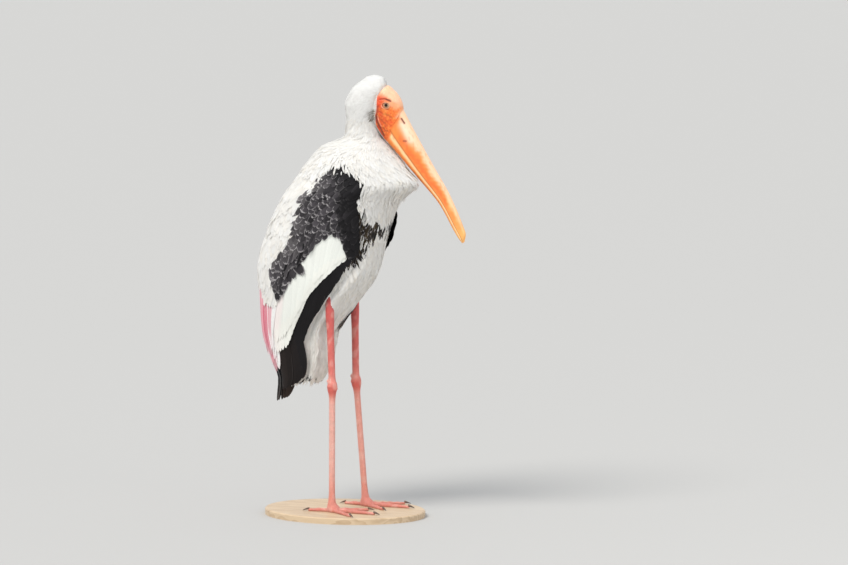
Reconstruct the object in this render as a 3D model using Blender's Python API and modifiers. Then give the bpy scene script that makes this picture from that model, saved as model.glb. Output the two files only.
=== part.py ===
"""Painted stork (Mycteria leucocephala) at life size, standing hunched with its bill lowered.

Metres, +Z up. The body faces +X and the bird's left is +Y. The body, ruff, neck and head are one stack of
level rings, parted by thin cuts; the wings are shells lying in a recess of that stack, one shell for each
group of feathers; face, bill and eyes are lofts and balls in the head's own upright plane, which is then
turned a little to the bird's left. Nothing moves: the bird is a still display model. Its feet rest on a low
oval base, because its weight lies so near the heels that it would topple without one.
"""

import math

import bmesh
import bpy
import numpy as np
from mathutils import Vector

# Driving dimensions, in metres and degrees. Places are first measured from a point under the bird at the
# level of its soles; centre_on_floor() moves everything so that its box stands centred on the origin.
GAP = 0.0004  # left between neighbours that touch
FLANK_RADIUS = 0.090  # turns degrees round the flank into a length
WING_DEPTH = 0.010  # thickness of the folded wing over the trunk
THINNEST_FEATHERS = 0.0020  # at the free tips of the flight feathers
WING_CLEARANCE = 0.0017  # between the trunk and the wing that lies on it
TAIL_DEPTH = 0.011  # room for the tail behind the under-tail feathers
TAIL_TOP, TAIL_TIP = 0.332, 0.212
WRIST_HEIGHT, WRIST_OUT = 0.545, (0.019, 0.010, 0)  # how the left wing is carried away from the breast
NECK_AXIS = 0.020  # X of the upright line that the neck turns about
HEAD_TURN = 10.0  # the head's turn to the bird's left

# The stack's rings: height, breast line, back line, half width. Wings are included where they cover it.
BODY_SECTIONS = (
    (0.205, -0.084, -0.136, 0.030),
    (0.240, -0.048, -0.134, 0.044),
    (0.285, -0.024, -0.151, 0.056),
    (0.340, -0.013, -0.164, 0.067),
    (0.391, 0.024, -0.168, 0.079),
    (0.455, 0.070, -0.171, 0.090),
    (0.533, 0.091, -0.149, 0.095),
    (0.597, 0.118, -0.117, 0.094),
    (0.628, 0.151, -0.094, 0.090),
    (0.660, 0.128, -0.070, 0.080),
    (0.694, 0.097, -0.040, 0.057),
    (0.717, 0.076, 0.006, 0.036),
    (0.745, 0.069, 0.009, 0.032),
    (0.775, 0.080, 0.007, 0.033),
    (0.805, 0.090, 0.020, 0.029),
    (0.825, 0.084, 0.044, 0.016),
)
CROWN_DOME = ((0.72, 0.0040), (0.34, 0.0062))  # rings over the last one: share of its size, rise
RUFF_HEIGHT = 0.633  # where the breast plumes come to their point
TURN_START, TURN_END = 0.640, 0.740  # the neck's turn grows between these heights
VENT_TIP, CUT_VENT, CUT_RUFF, CUT_NECK, CUT_HEAD = 0.246, 0.345, 0.622, 0.700, 0.757

# Borders of the folded wing's feather groups: height, and degrees round from the breast line.
SHOULDER = ((0.507, 36), (0.530, 38), (0.575, 45), (0.620, 56), (0.652, 67), (0.667, 79), (0.662, 91),
            (0.648, 104), (0.610, 109), (0.567, 103), (0.537, 102), (0.502, 117), (0.470, 128), (0.430, 137))
COVERT_TIPS = ((0.507, 45.5), (0.545, 53), (0.551, 65), (0.534, 73), (0.507, 80), (0.486, 90), (0.464, 95),
               (0.430, 101))
GREATER_TIPS = ((0.502, 45.5), (0.482, 46.5), (0.472, 52), (0.454, 59), (0.425, 67), (0.400, 71.5),
                (0.344, 74), (0.315, 84), (0.303, 107))
WING_EDGE = ((0.502, 36), (0.480, 38), (0.462, 46), (0.430, 50), (0.380, 53), (0.330, 54), (0.300, 60),
             (0.270, 57), (0.250, 54), (0.240, 72), (0.218, 88), (0.210, 112))
WING_FRONT = ((0.24, 0.30, 0.38, 0.43, 0.46, 0.50, 0.56, 0.61, 0.645, 0.70),
              (46, 46, 46, 42, 36, 30, 36, 46, 59, 78))  # heights, and where the recess is at its full depth
BACK_LINE = 179.8  # degrees: where the two wings meet down the back
MANTLE = ((0.690, 118), (0.686, 150), (0.660, BACK_LINE), (0.560, BACK_LINE), (0.430, BACK_LINE))
TERTIAL_ROOTS = ((0.427, 101.6), (0.427, 137), (0.427, BACK_LINE))
TERTIAL_TIPS = ((0.306, 108), (0.280, 111.5), (0.250, 118), (0.254, 138), (0.282, 162), (0.312, BACK_LINE))

# Head plane: distance forward and height. Each pair is the top and the bottom of one section.
FACE_SECTIONS = (
    ((0.079, 0.812), (0.052, 0.757), 0.021),
    ((0.0900, 0.8125), (0.0545, 0.7490), 0.0245),
    ((0.1004, 0.8049), (0.0600, 0.7405), 0.0255),
    ((0.1083, 0.7973), (0.0660, 0.7325), 0.0240),
    ((0.1144, 0.7877), (0.0725, 0.7240), 0.0215),
    ((0.1185, 0.7781), (0.0800, 0.7150), 0.0190),
    ((0.1199, 0.7684), (0.0885, 0.7060), 0.0172),
)
CULMEN = ((0.1199, 0.7684), (0.1362, 0.7379), (0.1783, 0.6638), (0.2117, 0.6069), (0.2363, 0.5516),
          (0.2424, 0.5330), (0.2400, 0.5190))
GONYS = ((0.0885, 0.7060), (0.1016, 0.6916), (0.1486, 0.6387), (0.1925, 0.5875), (0.2188, 0.5405),
         (0.2290, 0.5245), (0.2355, 0.5160))
BILL_HALF_WIDTHS = (0.0172, 0.0158, 0.0120, 0.0090, 0.0068, 0.0056, 0.0022)
MOUTH_LINE = (0.66, 0.67, 0.70, 0.70, 0.66, 0.64, 0.60)  # share of the bill's depth above the mouth
EYE_RADIUS = 0.0085
EYE_PLACE = (0.0915, 0.0180, 0.7776)

# Legs: foot, ankle and the leg's upper end in the belly.
LEGS = {
    "right": {"foot": (0.000, -0.050), "ankle": (0.000, -0.048, 0.239), "top": (-0.008, -0.044, 0.415)},
    "left": {"foot": (0.023, 0.050), "ankle": (0.004, 0.048, 0.238), "top": (0.003, 0.045, 0.415)},
}
SOLE_HEIGHT = 0.017
# The middle of the foot: height, reach backwards, reach forwards.
FOOT_HUB = ((0.0, 0.0085, 0.0165), (0.004, 0.0100, 0.0180), (0.010, 0.0092, 0.0140),
            (SOLE_HEIGHT, 0.0078, 0.0078))
SHIN_RADIUS, TARSUS_RADIUS, ANKLE_RADIUS, FOOT_JOINT_RADIUS = 0.0066, 0.0058, 0.0094, 0.0072
# Turned profiles from top to bottom: share of the length, radius.
SHIN_PROFILE = ((1.0, 0.0080), (0.80, 0.0080), (0.55, SHIN_RADIUS), (0.10, SHIN_RADIUS), (0.0, 0.0078))
TARSUS_PROFILE = ((1.0, 0.0062), (0.985, 0.0082), (0.962, ANKLE_RADIUS), (0.935, 0.0090), (0.90, 0.0068),
                  (0.85, TARSUS_RADIUS), (0.12, 0.0056), (0.05, 0.0066), (0.0, FOOT_JOINT_RADIUS))
SHIN_HOLE_DEPTH = 0.14
# Toes: degrees from straight ahead (outwards is positive), length without the claw, radius at the root.
TOES = {"middle": (2, 0.090, 0.0048), "outer": (38, 0.077, 0.0044), "inner": (-36, 0.070, 0.0044),
        "hind": (172, 0.046, 0.0044)}
CLAW_LENGTH, CLAW_LIFT = 0.012, 0.0005

# The base: middle (X), half length and half width, then height, bevel and number of sides.
BASE_MIDDLE, BASE_HALF_LENGTH, BASE_HALF_WIDTH = 0.004, 0.158, 0.128
BASE_HEIGHT, BASE_ROUNDING, BASE_SIDES = 0.012, 0.002, 40
SOLE_GAP = 0.0001  # between the soles and the base

# Colours (linear RGB), roughness.
WHITE = ((0.80, 0.79, 0.76), 0.75)
BLACK = ((0.012, 0.012, 0.013), 0.45)
ROSE = ((0.80, 0.24, 0.30), 0.70)
ORANGE_SKIN = ((0.85, 0.13, 0.03), 0.50)
BILL_ORANGE = ((0.90, 0.36, 0.09), 0.35)
BILL_YELLOW = ((0.88, 0.45, 0.12), 0.35)
LEG_PINK = ((0.70, 0.16, 0.13), 0.50)
CLAW_BROWN = ((0.06, 0.04, 0.03), 0.40)
EYE_PALE = ((0.45, 0.44, 0.40), 0.08)
OAK = ((0.52, 0.36, 0.21), 0.50)


# ---------------------------------------------------------------- curves and surfaces

def smooth_curve(at, knots, values):
    """A monotone cubic through (knots, values), read at the places asked for: no overshoot between knots."""
    knots = np.asarray(knots, float)
    values = np.asarray(values, float)
    slopes = np.diff(values) / np.diff(knots)
    before, after = slopes[:-1], slopes[1:]
    same_way = before * after > 0
    inner = np.where(same_way, 2 * before * after / np.where(same_way, before + after, 1), 0)
    tangents = np.concatenate([slopes[:1], inner, slopes[-1:]])
    at = np.clip(np.asarray(at, float), knots[0], knots[-1])
    span = np.clip(np.searchsorted(knots, at) - 1, 0, len(slopes) - 1)
    width = knots[span + 1] - knots[span]
    t = (at - knots[span]) / width
    return ((2 * t**3 - 3 * t**2 + 1) * values[span] + (t**3 - 2 * t**2 + t) * width * tangents[span]
            + (3 * t**2 - 2 * t**3) * values[span + 1] + (t**3 - t**2) * width * tangents[span + 1])


def smooth_step(value, low, high):
    """0 below low, 1 above high, an S-curve between."""
    t = np.clip((np.asarray(value, float) - low) / (high - low), 0, 1)
    return t * t * (3 - 2 * t)


def turn_head(points, share=1.0):
    """Points turned about the neck's upright line, by a share of the head's turn."""
    angle = np.radians(HEAD_TURN) * share
    forward = points[..., 0] - NECK_AXIS
    x = NECK_AXIS + forward * np.cos(angle) - points[..., 1] * np.sin(angle)
    y = forward * np.sin(angle) + points[..., 1] * np.cos(angle)
    return np.stack([x, y, points[..., 2]], axis=-1)


def body_point(height, degrees, inset=0.0):
    """A point of the stack's outline at a height, so many degrees round from the breast, moved in by inset.

    Each ring is a superellipse about a line just behind the middle. The front half is narrowed to a ridge
    at the ruff, where the plumes part.
    """
    height, degrees, inset = np.broadcast_arrays(height, degrees, inset)
    table = np.array(BODY_SECTIONS)
    front, back, half_width = (smooth_curve(height, table[:, 0], table[:, i]) for i in (1, 2, 3))
    centre = back + 0.42 * (front - back)
    angle = np.radians(degrees)
    across, along = np.sin(angle), np.cos(angle)
    ridge = 2.05 - 0.45 * np.exp(-(((height - RUFF_HEIGHT) / 0.035) ** 2))
    power = np.where(along > 0, ridge, 2.1)
    reach = np.where(along > 0, front - centre, centre - back)
    radius = (np.abs(along) ** power + np.abs(across) ** power) ** (-1 / power)
    shrink = 1 - inset / np.maximum(np.hypot(reach * along, half_width * across), 1e-6)
    points = np.stack([centre + reach * along * radius * shrink, half_width * across * radius * shrink,
                       height.astype(float)], axis=-1)
    return turn_head(points, smooth_step(height, TURN_START, TURN_END))


def from_breast(degrees):
    """An angle round the body as 0 to 180 degrees from the breast line, on either side."""
    return np.abs((np.asarray(degrees, float) + 180) % 360 - 180)


def wing_room(height, degrees):
    """How far the trunk lies inside the outline to make room for a wing: less towards the wing's top."""
    degrees = from_breast(degrees)
    edge = smooth_curve(height, WING_FRONT[0], WING_FRONT[1])
    top = 0.670 + 0.026 * smooth_step(degrees, 80, 105)
    behind_edge = smooth_step(degrees, edge - 8, edge)
    return (WING_DEPTH + WING_CLEARANCE) * behind_edge * (1 - smooth_step(height, top - 0.030, top + 0.028))


def recess(height, degrees):
    """How far the trunk lies inside the outline in all: the wing's room and, behind the vent, the tail's."""
    under_tail = smooth_step(from_breast(degrees), 112, 128) * (1 - smooth_step(height, 0.335, 0.375))
    return wing_room(height, degrees) + TAIL_DEPTH * under_tail


class Border:
    """A line over the body between two groups of feathers, with an even row of pointed tips."""

    def __init__(self, points, tips=0, tip_length=0.0):
        self.heights, self.degrees = np.array(points, float).T
        steps = np.hypot(np.diff(self.heights), np.radians(np.diff(self.degrees)) * FLANK_RADIUS)
        self.knots = np.concatenate([[0], np.cumsum(steps)]) / steps.sum()
        self.tips, self.tip_length = tips, tip_length

    def at(self, share):
        """(heights, degrees) at shares 0 to 1 of the border's length; each tip hangs lower by tip_length."""
        heights = smooth_curve(share, self.knots, self.heights)
        degrees = smooth_curve(share, self.knots, self.degrees)
        if self.tips:
            heights = heights - self.tip_length * np.abs((share * self.tips * 2 + 1) % 2 - 1)
        return heights, degrees


# ---------------------------------------------------------------- making objects

def make_material(name, finish):
    """A Principled material from a (colour, roughness) finish, made once for each name."""
    if name in bpy.data.materials:
        return bpy.data.materials[name]
    colour, roughness = finish
    material = bpy.data.materials.new(name)
    material.use_nodes = True
    shader = material.node_tree.nodes["Principled BSDF"]
    shader.inputs["Base Color"].default_value = (*colour, 1)
    shader.inputs["Roughness"].default_value = roughness
    shader.inputs["Metallic"].default_value = 0.0
    return material


def add_object(name, mesh, finish, collection):
    """Puts a mesh in the scene as one sub-part, with its own material."""
    item = bpy.data.objects.new(name, mesh)
    mesh.materials.clear()
    mesh.materials.append(make_material(name + "_finish", finish))
    collection.objects.link(item)
    return item


def closed_mesh(name, vertices, faces):
    """A mesh of one closed body whose faces point outwards."""
    work = bmesh.new()
    made = [work.verts.new(vertex) for vertex in vertices]
    for face in faces:
        work.faces.new([made[i] for i in face])
    bmesh.ops.recalc_face_normals(work, faces=work.faces)
    for face in work.faces:
        face.smooth = True
    mesh = bpy.data.meshes.new(name)
    work.to_mesh(mesh)
    work.free()
    mesh.set_sharp_from_angle(angle=math.radians(35))
    return mesh


def loft(name, rings):
    """A closed skin over rings of equal count, an array (rings, around, 3), with a flat cap at each end."""
    count, around = rings.shape[:2]
    index = np.arange(count * around).reshape(count, around)
    beside = np.roll(index, -1, axis=1)
    sides = np.stack([index[:-1], beside[:-1], beside[1:], index[1:]], axis=-1).reshape(-1, 4)
    caps = [tuple(index[0][::-1]), tuple(index[-1])]
    return closed_mesh(name, rings.reshape(-1, 3), [*map(tuple, sides), *caps])


def shell(name, outer, inner):
    """A closed shell between two sheets of points, each an array (rows, columns, 3)."""
    rows, columns = outer.shape[:2]
    index = np.arange(rows * columns).reshape(rows, columns)
    quads = np.stack([index[:-1, :-1], index[:-1, 1:], index[1:, 1:], index[1:, :-1]], axis=-1).reshape(-1, 4)
    rim = np.concatenate([index[0, :-1], index[:-1, -1], index[-1, :0:-1], index[:0:-1, 0]])
    below = rows * columns
    following = np.roll(rim, -1)
    walls = np.stack([rim, rim + below, following + below, following], axis=-1)
    faces = [*map(tuple, quads), *map(tuple, quads[:, ::-1] + below), *map(tuple, walls)]
    return closed_mesh(name, np.concatenate([outer.reshape(-1, 3), inner.reshape(-1, 3)]), faces)


def cut(item, *cutters):
    """Cuts the cutters out of an object."""
    for cutter in cutters:
        modifier = item.modifiers.new("cut_" + cutter.name, "BOOLEAN")
        modifier.operation = "DIFFERENCE"
        modifier.object = cutter


def make_cutter(name, mesh, collection):
    """A guide body that only cuts others."""
    item = bpy.data.objects.new(name, mesh)
    item.hide_render = True
    item.display_type = "WIRE"
    collection.objects.link(item)
    return item


# ---------------------------------------------------------------- body, neck and head

def stack_rings(low, high, ring_count, around):
    """Rings of the stack between two heights, inside the wings."""
    heights = np.linspace(low, high, ring_count)[:, None]
    degrees = np.arange(around)[None, :] * 360 / around
    return body_point(heights, degrees, recess(heights, degrees))


def build_body(parts):
    """The feathered body in five pieces from vent to crown, each a slice of the stack."""
    slices = {
        "undertail": (VENT_TIP, CUT_VENT - GAP / 2, 6, 28),
        "trunk": (CUT_VENT + GAP / 2, CUT_RUFF - GAP / 2, 19, 36),
        "ruff": (CUT_RUFF + GAP / 2, CUT_NECK - GAP / 2, 8, 36),
        "neck": (CUT_NECK + GAP / 2, CUT_HEAD - GAP / 2, 4, 26),
        "head": (CUT_HEAD + GAP / 2, BODY_SECTIONS[-1][0], 7, 26),
    }
    made = {}
    for name, (low, high, ring_count, around) in slices.items():
        rings = stack_rings(low, high, ring_count, around)
        if name == "head":
            crown = rings[-1].mean(axis=0)
            dome = [crown + (rings[-1] - crown) * share + (0, 0, rise) for share, rise in CROWN_DOME]
            rings = np.concatenate([rings, dome])
        made[name] = add_object(name, loft(name, rings), WHITE, parts)
    return made


def head_section(top, bottom, half_width, around, grow=0.0, power=2.15):
    """One upright section of face or bill: a superellipse from top to bottom in the head's plane."""
    angle = np.arange(around) * 2 * math.pi / around
    along, across = np.cos(angle), np.sin(angle)
    radius = (np.abs(along) ** power + np.abs(across) ** power) ** (-1 / power)
    top, bottom = np.array(top), np.array(bottom)
    half_depth = np.linalg.norm(top - bottom) / 2
    spine = (top + bottom) / 2 + np.outer(along * radius * (1 + grow / half_depth), (top - bottom) / 2)
    return np.stack([spine[:, 0], across * radius * (half_width + grow), spine[:, 1]], axis=-1)


def ball_mesh(name, radius):
    """A small ball."""
    ball = bmesh.new()
    bmesh.ops.create_uvsphere(ball, u_segments=12, v_segments=8, radius=radius)
    mesh = bpy.data.meshes.new(name)
    ball.to_mesh(mesh)
    ball.free()
    mesh.shade_smooth()
    return mesh


def build_face(parts, cutters, body):
    """The bare orange face, set into the feathered head, with an eye in each side."""
    def rings(grow):
        return turn_head(np.array([head_section(*section, 20, grow) for section in FACE_SECTIONS]))

    face = add_object("face", loft("face", rings(0.0)), ORANGE_SKIN, parts)
    face_room = make_cutter("face_room", loft("face_room", rings(GAP)), cutters)
    cut(body["head"], face_room)
    cut(body["neck"], face_room)
    for side, sign in (("left", 1), ("right", -1)):
        place = turn_head(np.array(EYE_PLACE) * (1, sign, 1))
        eye = add_object("eye_" + side, ball_mesh("eye_" + side, EYE_RADIUS), EYE_PALE, parts)
        socket = make_cutter("eye_room_" + side, ball_mesh("eye_room_" + side, EYE_RADIUS + GAP), cutters)
        eye.location = socket.location = place
        cut(face, socket)


def bill_sections(count):
    """Top, bottom, half width and mouth share of the bill at even steps from base to tip."""
    knots = np.linspace(0, 1, len(CULMEN))
    share = np.linspace(0, 1, count)
    top = np.stack([smooth_curve(share, knots, np.array(CULMEN)[:, i]) for i in (0, 1)], axis=-1)
    bottom = np.stack([smooth_curve(share, knots, np.array(GONYS)[:, i]) for i in (0, 1)], axis=-1)
    width = smooth_curve(share, knots, BILL_HALF_WIDTHS)
    mouth = smooth_curve(share, knots, MOUTH_LINE)
    return top, bottom, width, mouth


def build_bill(parts, cutters, body):
    """Upper and lower bill: each a loft of half sections that meet along the mouth line."""
    top, bottom, width, mouth = bill_sections(12)
    forward = (top[1] - top[0]) / np.linalg.norm(top[1] - top[0])
    top[0] += forward * GAP
    bottom[0] += forward * GAP
    arc = np.linspace(0, math.pi, 9)
    for name, sign, finish in (("bill_upper", 1, BILL_ORANGE), ("bill_lower", -1, BILL_YELLOW)):
        rings = []
        for high, low, half, share in zip(top, bottom, width, mouth):
            lip = high + (low - high) * share
            reach = (high if sign > 0 else low) - lip
            shift = reach / np.linalg.norm(reach) * GAP / 2
            if sign < 0:
                half = half * 0.9
            rows = lip + shift + np.outer(np.sin(arc) ** 0.8, reach - shift)
            rings.append(np.stack([rows[:, 0], np.cos(arc) * half, rows[:, 1]], axis=-1))
        add_object(name, loft(name, turn_head(np.array(rings))), finish, parts)
    sections = list(zip(top, bottom, width))
    room = turn_head(np.array([head_section(*section, 12, 2 * GAP) for section in sections]))
    bill_room = make_cutter("bill_room", loft("bill_room", room), cutters)
    cut(body["ruff"], bill_room)
    cut(body["neck"], bill_room)


# ---------------------------------------------------------------- wings and tail

def drawn_in(edge, opposite):
    """An edge of a feather group, moved square to itself by half a gap towards the opposite edge."""
    line, other = (np.stack([heights, np.radians(degrees) * FLANK_RADIUS])
                   for heights, degrees in (edge, opposite))
    along = np.gradient(line, axis=1)
    normal = np.stack([-along[1], along[0]]) / np.linalg.norm(along, axis=0)
    inward = np.sign(np.sum(normal * (other - line)))
    line = line + normal * inward * GAP / 2
    shorten = np.linspace(1, -1, line.shape[1]) * GAP / 2
    line = line + shorten * (line[:, -1:] - line[:, :1]) / np.linalg.norm(line[:, -1] - line[:, 0])
    return line[0], np.degrees(line[1] / FLANK_RADIUS)


def wing_group(name, side, upper, lower, columns, rows, finish, parts, thin_tips=False, first=0):
    """A shell of the folded wing between two borders, on the outline outside and on the trunk inside.

    The upper border is read from its column number `first` on, so that neighbours share its points.
    """
    start = upper.at(np.linspace(0, 1, columns)[first:])
    end = lower.at(np.linspace(0, 1, columns - first))
    start, end = drawn_in(start, end), drawn_in(end, start)
    down = np.linspace(0, 1, rows)[:, None]
    height, degrees = (start[i] + (end[i] - start[i]) * down for i in (0, 1))
    clearance = WING_CLEARANCE * (1 + smooth_step(height, 0.62, 0.66))
    depth = np.maximum(wing_room(height, degrees) - clearance, THINNEST_FEATHERS)
    if thin_tips:
        depth = depth + (THINNEST_FEATHERS - depth) * smooth_step(down, 0.35, 1.0)
    outer = body_point(height, side * degrees)
    inner = body_point(height, side * degrees, depth)
    if side > 0:
        outer, inner = held_forward(outer, degrees), held_forward(inner, degrees)
    return add_object(name, shell(name, outer, inner), finish, parts)


def held_forward(points, degrees):
    """The left wing's wrist is carried a little further out from the breast than the right one's."""
    lift = np.exp(-(((points[..., 2] - WRIST_HEIGHT) / 0.060) ** 2)) * (1 - smooth_step(degrees, 45, 90))
    return points + lift[..., None] * np.array(WRIST_OUT)


def build_wings(parts):
    """Five groups of feathers on each side, laid edge to edge."""
    shoulder = Border(SHOULDER)
    covert_tips = Border(COVERT_TIPS, 8, 0.007)
    greater_tips = Border(GREATER_TIPS, 8, 0.008)
    wing_edge = Border(WING_EDGE, 8, 0.010)
    mantle = Border(MANTLE)
    tertial_roots = Border(TERTIAL_ROOTS)
    tertial_tips = Border(TERTIAL_TIPS, 5, 0.006)
    columns = 17
    for side, sign in (("right", -1), ("left", 1)):
        wing_group("coverts_" + side, sign, shoulder, covert_tips, columns, 7, BLACK, parts)
        wing_group("greater_coverts_" + side, sign, covert_tips, greater_tips, columns, 5, WHITE, parts)
        wing_group("flight_" + side, sign, greater_tips, wing_edge, columns, 5, BLACK, parts, thin_tips=True)
        wing_group("scapulars_" + side, sign, shoulder, mantle, columns, 10, WHITE, parts, first=6)
        wing_group("tertials_" + side, sign, tertial_roots, tertial_tips, 11, 7, ROSE, parts)


def build_tail(parts):
    """The short black tail: a curved fan between the wings and the feathers under it."""
    columns, rows = 13, 4
    degrees = np.linspace(134, 226, columns)[None, :]
    tips = TAIL_TIP + 0.008 * (np.arange(columns) % 2)
    height = TAIL_TOP + (tips - TAIL_TOP) * np.linspace(0, 1, rows)[:, None]
    outer_depth = WING_DEPTH + 2 * WING_CLEARANCE
    outer = body_point(height, degrees, outer_depth)
    inner = body_point(height, degrees, WING_DEPTH + TAIL_DEPTH - WING_CLEARANCE)
    return add_object("tail", shell("tail", outer, inner), BLACK, parts)


# ---------------------------------------------------------------- legs and feet

def turned(name, profile, steps, start, end, finish, parts):
    """A round rod turned from (share of length, radius) pairs, set between two points."""
    start, end = Vector(start), Vector(end)
    length = (end - start).length
    outline = [(0, 0, length), *((radius, 0, length * share) for share, radius in profile), (0, 0, 0)]
    mesh = bpy.data.meshes.new(name)
    mesh.from_pydata(outline, [(i, i + 1) for i in range(len(outline) - 1)], [])
    item = add_object(name, mesh, finish, parts)
    screw = item.modifiers.new("turn", "SCREW")
    screw.steps = screw.render_steps = steps
    screw.use_merge_vertices = True
    screw.merge_threshold = 0.00005
    item.location = start
    item.rotation_euler = (end - start).to_track_quat("Z", "Y").to_euler()
    return item


def along_floor(root, direction, forward, sideways, up):
    """Points measured from a foot: along a toe's direction, across it and up from the floor."""
    heading = np.array([math.cos(direction), math.sin(direction)])
    flat = forward[..., None] * heading + sideways[..., None] * np.array([-heading[1], heading[0]])
    return np.concatenate([flat + root, up[..., None]], axis=-1)


def toe_rings(root, direction, length, radius, start):
    """Half-round rings along a toe, flat on the floor, swelling at each joint."""
    share = np.linspace(0, 1, 6)[:, None]
    angle = np.radians(np.linspace(-50, 230, 7))
    size = radius * (1 - 0.38 * share) * (1 + 0.10 * np.cos(6 * math.pi * share))
    forward = np.broadcast_to(start + (length - start) * share, (6, 7))
    up = np.maximum(size * (math.sin(math.radians(50)) + np.sin(angle)), 0)
    return along_floor(root, direction, forward, size * np.cos(angle), up)


def claw_rings(root, direction, start, size):
    """Round rings along a claw that bends down from the toe's end and stays just off the floor."""
    share = np.linspace(0, 1, 4)[:, None]
    angle = np.arange(6) * math.pi / 3
    radius = size * (1 - 0.82 * share)
    forward = np.broadcast_to(start + CLAW_LENGTH * share, (4, 6))
    middle = CLAW_LIFT + radius + size * 0.9 * (1 - share) ** 0.7
    return along_floor(root, direction, forward, radius * np.cos(angle), middle + radius * np.sin(angle))


def build_foot(side, foot, parts):
    """The foot's middle, four toes that lie flat, and their claws."""
    around = np.arange(20) * math.pi / 10
    spread = np.clip(np.cos(around), 0, 1) ** 0.7
    height, back, front = np.array(FOOT_HUB).T[:, :, None]
    reach = back + (front - back) * spread
    hub = np.stack([foot[0] + reach * np.cos(around), foot[1] + reach * np.sin(around),
                    np.broadcast_to(height, reach.shape)], axis=-1)
    add_object("foot_" + side, loft("foot_" + side, hub), LEG_PINK, parts)
    outwards = 1 if side == "left" else -1
    for toe, (degrees, length, radius) in TOES.items():
        direction = math.radians(outwards * degrees)
        root = FOOT_HUB[1][1 if toe == "hind" else 2] + GAP
        name = toe + "_toe_" + side
        add_object(name, loft(name, toe_rings(foot, direction, length, radius, root)), LEG_PINK, parts)
        name = toe + "_claw_" + side
        claw = claw_rings(foot, direction, length + GAP, radius * 0.52)
        add_object(name, loft(name, claw), CLAW_BROWN, parts)


def build_leg(side, parts, cutters, trunk):
    """Shin and tarsus with its knobbed ankle, over a foot; the shin runs up into a hole in the belly."""
    foot, ankle, top = (np.array(LEGS[side][place]) for place in ("foot", "ankle", "top"))
    build_foot(side, foot, parts)
    lean = np.linalg.norm(ankle[:2] - foot) / ankle[2]
    sole_top = np.array([*foot, SOLE_HEIGHT + GAP + FOOT_JOINT_RADIUS * lean])
    turned("tarsus_" + side, TARSUS_PROFILE, 10, sole_top, ankle + (0, 0, ANKLE_RADIUS), LEG_PINK, parts)
    way = (top - ankle) / np.linalg.norm(top - ankle)
    turned("shin_" + side, SHIN_PROFILE, 10, ankle + way * (ANKLE_RADIUS + 2 * GAP), top, LEG_PINK, parts)
    tube = bmesh.new()
    hole_radius = SHIN_PROFILE[0][1] + 2 * GAP
    bmesh.ops.create_cone(tube, cap_ends=True, segments=16, radius1=hole_radius, radius2=hole_radius,
                          depth=SHIN_HOLE_DEPTH)
    mesh = bpy.data.meshes.new("shin_room_" + side)
    tube.to_mesh(mesh)
    tube.free()
    hole = make_cutter("shin_room_" + side, mesh, cutters)
    hole.rotation_euler = Vector(way).to_track_quat("Z", "Y").to_euler()
    hole.location = top - way * (SHIN_HOLE_DEPTH / 2 - GAP)
    cut(trunk, hole)


# ---------------------------------------------------------------- the base and the whole bird

def build_base(parts):
    """A low oval plate under the feet, with a bevelled top edge."""
    around = np.arange(BASE_SIDES) * 2 * math.pi / BASE_SIDES
    rings = []
    for depth, inset in ((BASE_HEIGHT, 0), (BASE_ROUNDING, 0), (0, BASE_ROUNDING)):
        rings.append(np.stack([BASE_MIDDLE + (BASE_HALF_LENGTH - inset) * np.cos(around),
                               (BASE_HALF_WIDTH - inset) * np.sin(around),
                               np.full(around.shape, -depth - SOLE_GAP)], axis=-1))
    return add_object("stand_base", loft("stand_base", np.array(rings)), OAK, parts)


def centre_on_floor(parts, cutters):
    """Hangs everything on an empty and moves that, so that the whole box stands centred on the origin."""
    bpy.context.view_layer.update()
    graph = bpy.context.evaluated_depsgraph_get()
    corners = np.array([item.matrix_world @ Vector(corner)
                        for item in parts.objects for corner in item.evaluated_get(graph).bound_box])
    low, high = corners.min(axis=0), corners.max(axis=0)
    stork = bpy.data.objects.new("stork", None)
    for item in (*parts.objects, *cutters.objects):
        item.parent = stork
    parts.objects.link(stork)
    stork.location = (-(low[0] + high[0]) / 2, -(low[1] + high[1]) / 2, -low[2])


def main():
    """Builds the stork in an empty scene."""
    for item in list(bpy.data.objects):
        bpy.data.objects.remove(item, do_unlink=True)
    parts = bpy.data.collections.new("painted_stork")
    cutters = bpy.data.collections.new("cutters")
    for collection in (parts, cutters):
        bpy.context.scene.collection.children.link(collection)
    body = build_body(parts)
    build_face(parts, cutters, body)
    build_bill(parts, cutters, body)
    build_wings(parts)
    build_tail(parts)
    for side in LEGS:
        build_leg(side, parts, cutters, body["trunk"])
    build_base(parts)
    centre_on_floor(parts, cutters)


if __name__ == "__main__":
    main()
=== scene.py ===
"""A painted stork as a life-size museum model: one skin, horn bill, eyes, claws, plumage and base.

Metres, +Z up, the body faces +X and the bird's left is +Y. Every surface is worked out with numpy from a few
named forms: the body's level rings, the face's upright sections, the bill's sections and the legs' rods. The
feathers are closed thin vanes laid along lines on those forms.
"""

import logging
import math
from collections.abc import Callable, Sequence
from dataclasses import dataclass, field, replace
from enum import Enum
from typing import ClassVar

import bpy
import numpy as np
from mathutils import Matrix, Vector


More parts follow.
